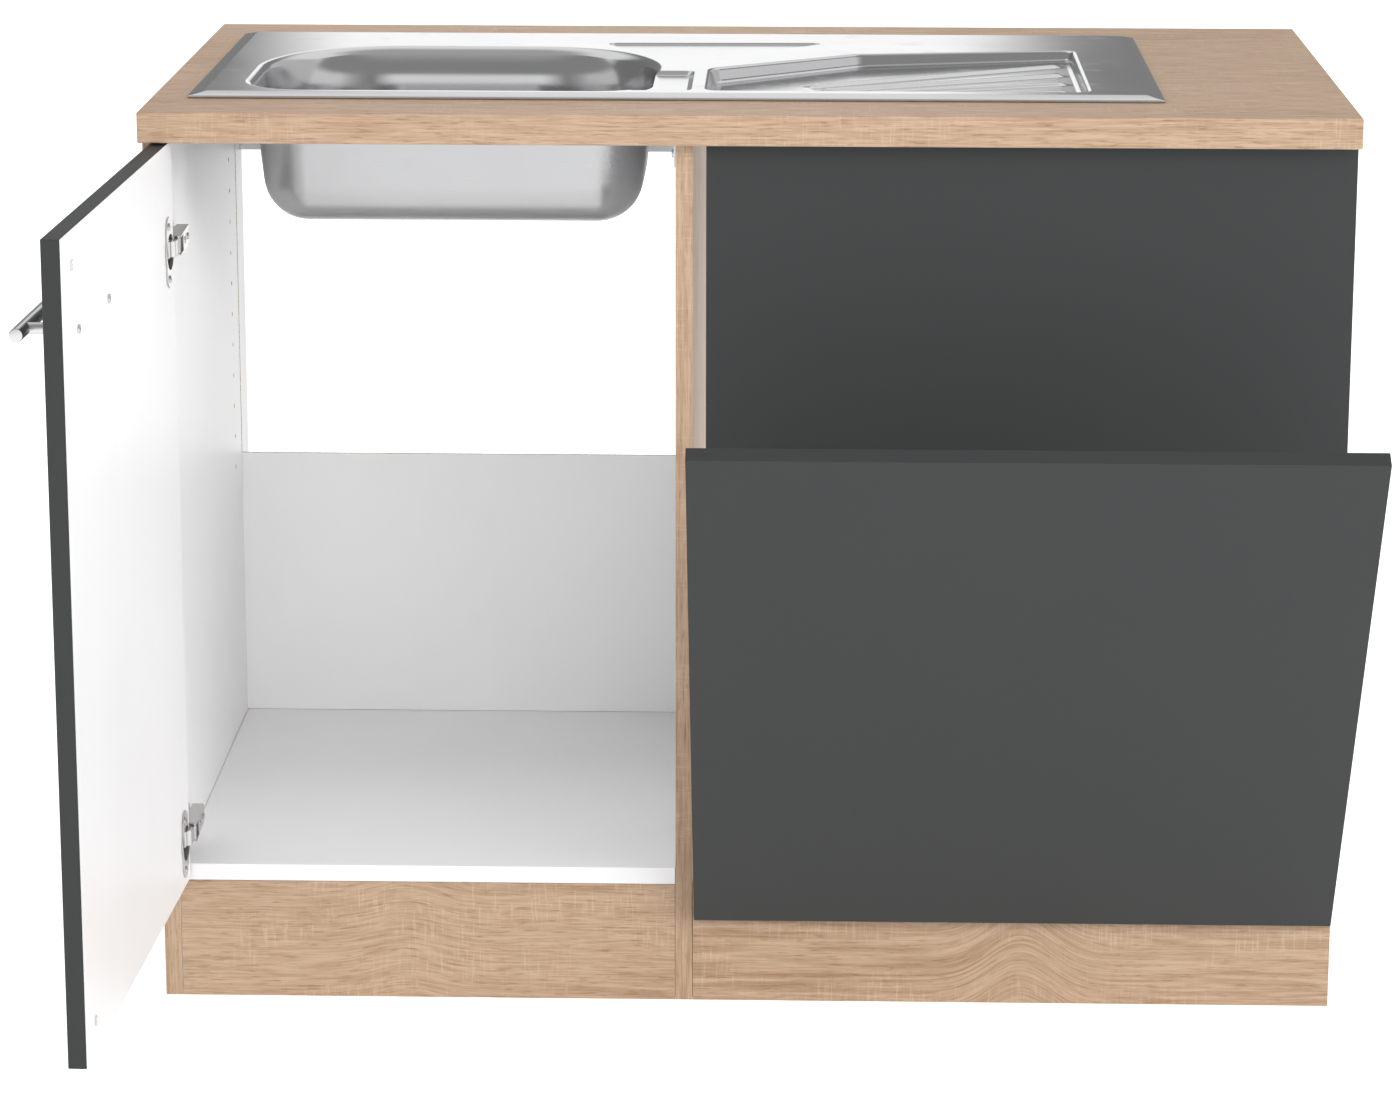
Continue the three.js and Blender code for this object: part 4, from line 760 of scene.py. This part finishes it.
def metal_material(name, tint, gloss, streaks, relief=0.05):
    """Metal with a brushed or drawn surface, whose scratches run along the unit."""
    material, tree, shader, place = new_material(name)
    metal = node(tree, "ShaderNodeGroup", node_tree=brushed_metal)
    tree.links.new(place, metal.inputs["Vector"])
    metal.inputs["Tint"].default_value = (*tint, 1)
    metal.inputs["Gloss"].default_value = gloss
    metal.inputs["Streaks"].default_value = streaks
    tree.links.new(metal.outputs["Color"], shader.inputs["Base Color"])
    tree.links.new(metal.outputs["Roughness"], shader.inputs["Roughness"])
    shader.inputs["Metallic"].default_value = 1.0
    bumped(tree, shader, metal.outputs["Height"], relief, 0.0001)
    return material


sink_steel = metal_material("sink_steel", (0.62, 0.62, 0.625), 0.16, 0.5, relief=0.02)
sink_underside = metal_material("sink_underside", (0.45, 0.45, 0.455), 0.30, 0.4)


def smooth_shaded(shape, sharp_angle):
    """Smooth faces, with the edges kept sharp that turn by more than an angle."""
    for face in shape.faces:
        face.smooth = True
        face.material_index = 0
    for edge in shape.edges:
        edge.smooth = len(edge.link_faces) != 2 or edge.calc_face_angle() < math.radians(sharp_angle)


smooth_shaded(pressed, 38)
pressed_sink = placed(
    pressed, "pressed_sink", [sink_steel, sink_underside], "carcass", ["sink"])
wall = pressed_sink.modifiers.new("sheet", "SOLIDIFY")
wall.thickness, wall.offset = SHEET * MM, -1
wall.use_even_offset, wall.material_offset = True, 1
shading = pressed_sink.modifiers.new("shading", "WEIGHTED_NORMAL")
shading.keep_sharp, shading.weight = True, 100

# A strip of black foam under the rim seals it to the worktop.
foam, tree, shader, place = new_material("black_foam")
cells = node(tree, "ShaderNodeTexVoronoi", {"Vector": place, "Scale": 1600.0}).outputs["Distance"]
tree.links.new(ramp(tree, cells, [(0.2, 0.012), (0.8, 0.035)]), shader.inputs["Base Color"])
shader.inputs["Roughness"].default_value = 0.95
bumped(tree, shader, cells, 0.5, 0.0003)


def kept(cad_node, material):
    """A CAD node whose shape is right stays, with a finish of its own."""
    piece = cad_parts[cad_node]
    piece.data.materials.clear()
    piece.data.materials.append(material)


kept("sink_seal", foam)

# ---------------------------------------------------------------- screws and plated steel
# Small plated fittings hold the boards: pressed angle brackets, sink clamps and cross-head screws.
# The steel is stamped, so that its edges are slightly rounded, and then zinc plated.
zinc = metal_material("zinc_plating", (0.66, 0.67, 0.69), 0.36, 0.35, relief=0.08)
nickel = metal_material("nickel_plating", (0.60, 0.595, 0.585), 0.30, 0.3, relief=0.04)


ARRIS_ANGLE = 34


def metal_piece(cad_node, name, material, body, radius=0.4):
    """A merged copy of a metal CAD node with softened arrises."""
    shape = merged_copy(cad_node)
    smooth_shaded(shape, ARRIS_ANGLE)
    piece = placed(shape, name, [material], body, [cad_node])
    arrises = piece.modifiers.new("arrises", "BEVEL")
    arrises.width, arrises.segments = radius * MM, 2
    arrises.limit_method, arrises.angle_limit = "ANGLE", math.radians(ARRIS_ANGLE)
    shading = piece.modifiers.new("shading", "WEIGHTED_NORMAL")
    shading.keep_sharp = True


def box_shape(size, centre):
    """Block of a given size in metres."""
    shape = bmesh.new()
    bmesh.ops.create_cube(shape, size=1)
    bmesh.ops.scale(shape, vec=size, verts=shape.verts)
    bmesh.ops.translate(shape, vec=centre, verts=shape.verts)
    return shape


def disc_shape(diameter, thickness, rounding, segments=32):
    """Round disc on the XY plane, with the rim of its upper face rounded."""
    shape = bmesh.new()
    bmesh.ops.create_cone(shape, cap_ends=True, segments=segments, radius1=diameter / 2 * MM,
                          radius2=diameter / 2 * MM, depth=thickness * MM)
    bmesh.ops.translate(shape, vec=(0, 0, thickness / 2 * MM), verts=shape.verts)
    rim = [edge for edge in shape.edges if all(near(vert.co.z, thickness * MM) for vert in edge.verts)]
    bmesh.ops.bevel(shape, geom=rim, offset=rounding * MM, offset_type="OFFSET", segments=3, profile=0.5,
                    affect="EDGES", material=-1)
    return shape


def screw_head_mesh(diameter, thickness):
    """Rounded head of a cross-head screw, on the XY plane with its recess on top."""
    head = loose_object(disc_shape(diameter, thickness, thickness * 0.55), "head")
    length, width, depth = diameter * 0.58 * MM, diameter * 0.14 * MM, thickness * 1.2 * MM
    arms = [loose_object(box_shape(size, (0, 0, thickness * MM)), "recess")
            for size in ((length, width, depth), (width, length, depth))]
    cut_head = carve(head, arms)
    smooth_shaded(cut_head, 40)
    mesh = bpy.data.meshes.new("screw_head")
    cut_head.to_mesh(mesh)
    cut_head.free()
    return mesh


FIRST_TWIST, NEXT_TWIST = 0.7, 1.9


def repeated(name, mesh, places, material, body, stands_for=(), turn=Matrix.Identity(4)):
    """One piece that holds a copy of a small mesh at each place: a point, and the way its top faces.
    Each copy is twisted on, as screws stop at any angle."""
    shape = bmesh.new()
    for index, (point, facing) in enumerate(places):
        start = len(shape.verts)
        shape.from_mesh(mesh)
        shape.verts.ensure_lookup_table()
        twist = Matrix.Rotation(FIRST_TWIST + NEXT_TWIST * index, 4, "Z")
        stand = Vector(facing).to_track_quat("Z", "Y").to_matrix().to_4x4()
        pose = turn @ Matrix.Translation(point) @ stand @ twist
        bmesh.ops.transform(shape, matrix=pose, verts=shape.verts[start:])
    placed(shape, name, [material], body, stands_for)


LEFTWARDS, RIGHTWARDS, BACKWARDS, DOWN = (
    Vector(axis) for axis in ((-1, 0, 0), (1, 0, 0), (0, 1, 0), (0, 0, -1)))
LEFT_BOARD, MIDDLE_BOARD, NICHE_LEFT, RETURN_BOARD = 16, 484, 500, 1084
UNDERSIDE, FRONT_BOARDS_BACK, PLINTH_TOP = 822, 46, 115
ANGLES = {
    "left_front_bracket": ((LEFT_BOARD, 64, UNDERSIDE), RIGHTWARDS, DOWN),
    "left_rear_bracket": ((LEFT_BOARD, 550, UNDERSIDE), RIGHTWARDS, DOWN),
    "mid_front_bracket": ((MIDDLE_BOARD, 64, UNDERSIDE), LEFTWARDS, DOWN),
    "mid_rear_bracket": ((MIDDLE_BOARD, 550, UNDERSIDE), LEFTWARDS, DOWN),
    "infill_left_bracket": ((572, FRONT_BOARDS_BACK, UNDERSIDE), BACKWARDS, DOWN),
    "infill_right_bracket": ((1040, FRONT_BOARDS_BACK, UNDERSIDE), BACKWARDS, DOWN),
    "left_plinth_bracket": ((250, FRONT_BOARDS_BACK, PLINTH_TOP), BACKWARDS, DOWN),
    "niche_plinth_bracket": ((NICHE_LEFT, FRONT_BOARDS_BACK, PLINTH_TOP / 2), RIGHTWARDS, BACKWARDS),
    "return_bracket": ((RETURN_BOARD, FRONT_BOARDS_BACK, PLINTH_TOP / 2), LEFTWARDS, BACKWARDS)}
SCREW_FROM_CORNER, BRACKET_FACE = 17, 2.3
bracket_screws = []
for cad_node, (corner, first, second) in ANGLES.items():
    metal_piece(cad_node, f"{cad_node}_plate", zinc, "carcass")
    for along, across in ((first, second), (second, first)):
        point = spot(*corner) + along * SCREW_FROM_CORNER * MM + across * BRACKET_FACE * MM
        bracket_screws.append((point, across))
screw_head = screw_head_mesh(7.5, 2.2)
repeated("bracket_screws", screw_head, bracket_screws, zinc, "carcass")
for side in ("front_left", "front_right", "rear_left", "rear_right", "left", "right"):
    metal_piece(f"{side}_sink_clamp", f"{side}_clamp", zinc, "carcass")

# Cams pull the rear rail and the cabinet floor to the side boards.
CAM_COLUMNS, RAIL_BACK, CABINET_FLOOR_UNDER = (50, 450), 598.2, 114.8
cam_places = [(spot(x, RAIL_BACK, z), BACKWARDS) for x in CAM_COLUMNS for z in (742, 802)]
cam_places += [(spot(x, y, CABINET_FLOOR_UNDER), DOWN) for x in CAM_COLUMNS for y in (90, 530)]
repeated("board_cams", screw_head_mesh(15, 0.8), cam_places, zinc, "carcass")

# ---------------------------------------------------------------- handle and door fittings
# A round satin bar on two posts, screwed through the door from the inside. Two clear bumpers near the
# free edge keep the door off the cabinet.
CLOSED_PIVOT, OPEN_PIVOT = spot(12, 25, 0), spot(23.1528, 17.1108, 0)
door_turn = (
    Matrix.Translation(OPEN_PIVOT) @ Matrix.Rotation(DOOR_OPEN, 4, "Z") @ Matrix.Translation(-CLOSED_PIVOT))
handle_steel = metal_material("handle_steel", (0.63, 0.63, 0.63), 0.30, 0.6, relief=0.1)
BAR_X, BAR_Y, HANDLE_Z, BAR_REACH = 372, -17, 735, 95
POST_X, DOOR_FACE, DOOR_INSIDE = (308, 436), 11.8, 28.2


def turned_rod(diameter, start, end, rounding):
    """Round bar between two points, with both ends rounded, as the door stands open."""
    start, end = spot(*start), spot(*end)
    shape = bmesh.new()
    bmesh.ops.create_cone(shape, cap_ends=True, segments=48, radius1=diameter / 2 * MM,
                          radius2=diameter / 2 * MM, depth=(end - start).length)
    caps = {edge for face in shape.faces if len(face.verts) > 4 for edge in face.edges}
    bmesh.ops.bevel(shape, geom=list(caps), offset=rounding * MM, offset_type="OFFSET", segments=3,
                    profile=0.5, affect="EDGES", material=-1)
    stand = (end - start).to_track_quat("Z", "Y").to_matrix().to_4x4()
    shape.transform(Matrix.Translation((start + end) / 2) @ stand)
    smooth_shaded(shape, 40)
    shape.transform(door_turn)
    return shape


bar = turned_rod(12, (BAR_X - BAR_REACH, BAR_Y, HANDLE_Z), (BAR_X + BAR_REACH, BAR_Y, HANDLE_Z), 0.9)
placed(bar, "handle_rod", [handle_steel], "door", ["handle_bar"])
for end, x in zip(("inner", "outer"), POST_X):
    post = turned_rod(10, (x, DOOR_FACE, HANDLE_Z), (x, BAR_Y + 2, HANDLE_Z), 0.5)
    placed(post, f"{end}_post", [handle_steel], "door", [f"{end}_handle_post"])
handle_screw_places = [(spot(x, DOOR_INSIDE, HANDLE_Z), BACKWARDS) for x in POST_X]
repeated("handle_screws", screw_head_mesh(8, 1.5), handle_screw_places, zinc, "door",
         ["inner_handle_screw", "outer_handle_screw"], door_turn)

clear_plastic, tree, shader, place = new_material("clear_plastic")
haze = noise(tree, place, scale=700, detail=2)
tree.links.new(maths(tree, "MULTIPLY_ADD", haze, 0.2, 0.05), shader.inputs["Roughness"])
tree.links.new(ramp(tree, haze, [(0.3, 0.93), (0.7, 0.99)]), shader.inputs["Base Color"])
shader.inputs["Transmission Weight"].default_value = 0.5
shader.inputs["IOR"].default_value = 1.48
BUMPER_X, BUMPER_SEAT, BUMPER_HEIGHTS = 457, 28.3, (146, 792)
bumper_mesh = bpy.data.meshes.new("bumper")
bumper_shape = disc_shape(9, 1.4, 1.0, 40)
smooth_shaded(bumper_shape, 60)
bumper_shape.to_mesh(bumper_mesh)
bumper_shape.free()
bumper_places = [(spot(BUMPER_X, BUMPER_SEAT, z), BACKWARDS) for z in BUMPER_HEIGHTS]
repeated("door_bumpers", bumper_mesh, bumper_places, clear_plastic, "door",
         ["upper_bumper", "lower_bumper"], door_turn)

# ---------------------------------------------------------------- concealed hinges
# Each has a pressed cup in the door, a folded link, and a channel-shaped arm on a plate that is screwed
# to the side board. Pins join them, and two screws in the arm set the door's place.
# Screw heads seat on the cup's flange, on the plate's wings and on the arm's back.
FLANGE_SEAT, WING_SEAT, ARM_SEAT = 29.3, 19.1, 31.3
flange_screws, plate_screws, arm_screws = [], [], []
for level, z in (("upper", 722), ("lower", 160)):
    metal_piece(f"{level}_hinge_cup", f"{level}_cup", nickel, "door", radius=0.35)
    metal_piece(f"{level}_hinge_link", f"{level}_link", nickel, "hinge_links", radius=0.35)
    metal_piece(f"{level}_hinge_arm", f"{level}_arm", nickel, "carcass", radius=0.5)
    metal_piece(f"{level}_hinge_mount", f"{level}_mount", nickel, "carcass", radius=0.5)
    kept(f"{level}_arm_pin", nickel)
    kept(f"{level}_cup_pin", nickel)
    flange_screws += [(spot(30.5, FLANGE_SEAT, z + lift), BACKWARDS) for lift in (-24, 24)]
    plate_screws += [(spot(WING_SEAT, 67, z + lift), RIGHTWARDS) for lift in (-16, 16)]
    arm_screws += [(spot(ARM_SEAT, y, z), RIGHTWARDS) for y in (66, 86)]
repeated("cup_screws", screw_head_mesh(6.6, 1.5), flange_screws, nickel, "door",
         turn=door_turn)
repeated("plate_screws", screw_head_mesh(7, 1.8), plate_screws, nickel, "carcass")
repeated("arm_screws", screw_head_mesh(6.4, 1.2), arm_screws, nickel, "carcass")

# ---------------------------------------------------------------- tilting front's arms
# Two flat swan-neck arms are screwed to the front's inner face. They turn on headed pins between the
# ears of two brackets behind the plinth, and come to rest on the brackets' top edges.
TILT_PIVOT = spot(0, 66.3, 99.9)
tilt_turn = (
    Matrix.Translation(TILT_PIVOT) @ Matrix.Rotation(FRONT_TILT, 4, "X") @ Matrix.Translation(-TILT_PIVOT))
ARM_FLANGE_SEAT, ARM_FLANGE_Z, EAR_PLATE_SEAT, EAR_PLATE_Z = 31.2, 167, 49.2, 99
arm_flange_screws, bracket_plate_screws = [], []
for side, x in (("left", 562), ("right", 1038)):
    metal_piece(f"{side}_tilt_arm", f"{side}_swan_arm", zinc, "niche_front", radius=0.6)
    metal_piece(f"{side}_pivot_bracket", f"{side}_ear_bracket", zinc, "carcass")
    metal_piece(f"{side}_pivot_pin", f"{side}_headed_pin", nickel, "carcass")
    for way in (-1, 1):
        on_flange = spot(x + way * 10, ARM_FLANGE_SEAT, ARM_FLANGE_Z + way * 16.5)
        arm_flange_screws.append((on_flange, BACKWARDS))
        bracket_plate_screws.append((spot(x + way * 13, EAR_PLATE_SEAT, EAR_PLATE_Z), BACKWARDS))
repeated("arm_flange_screws", screw_head, arm_flange_screws, zinc, "niche_front",
         turn=tilt_turn)
repeated("ear_bracket_screws", screw_head_mesh(6.5, 1.8), bracket_plate_screws, zinc, "carcass")
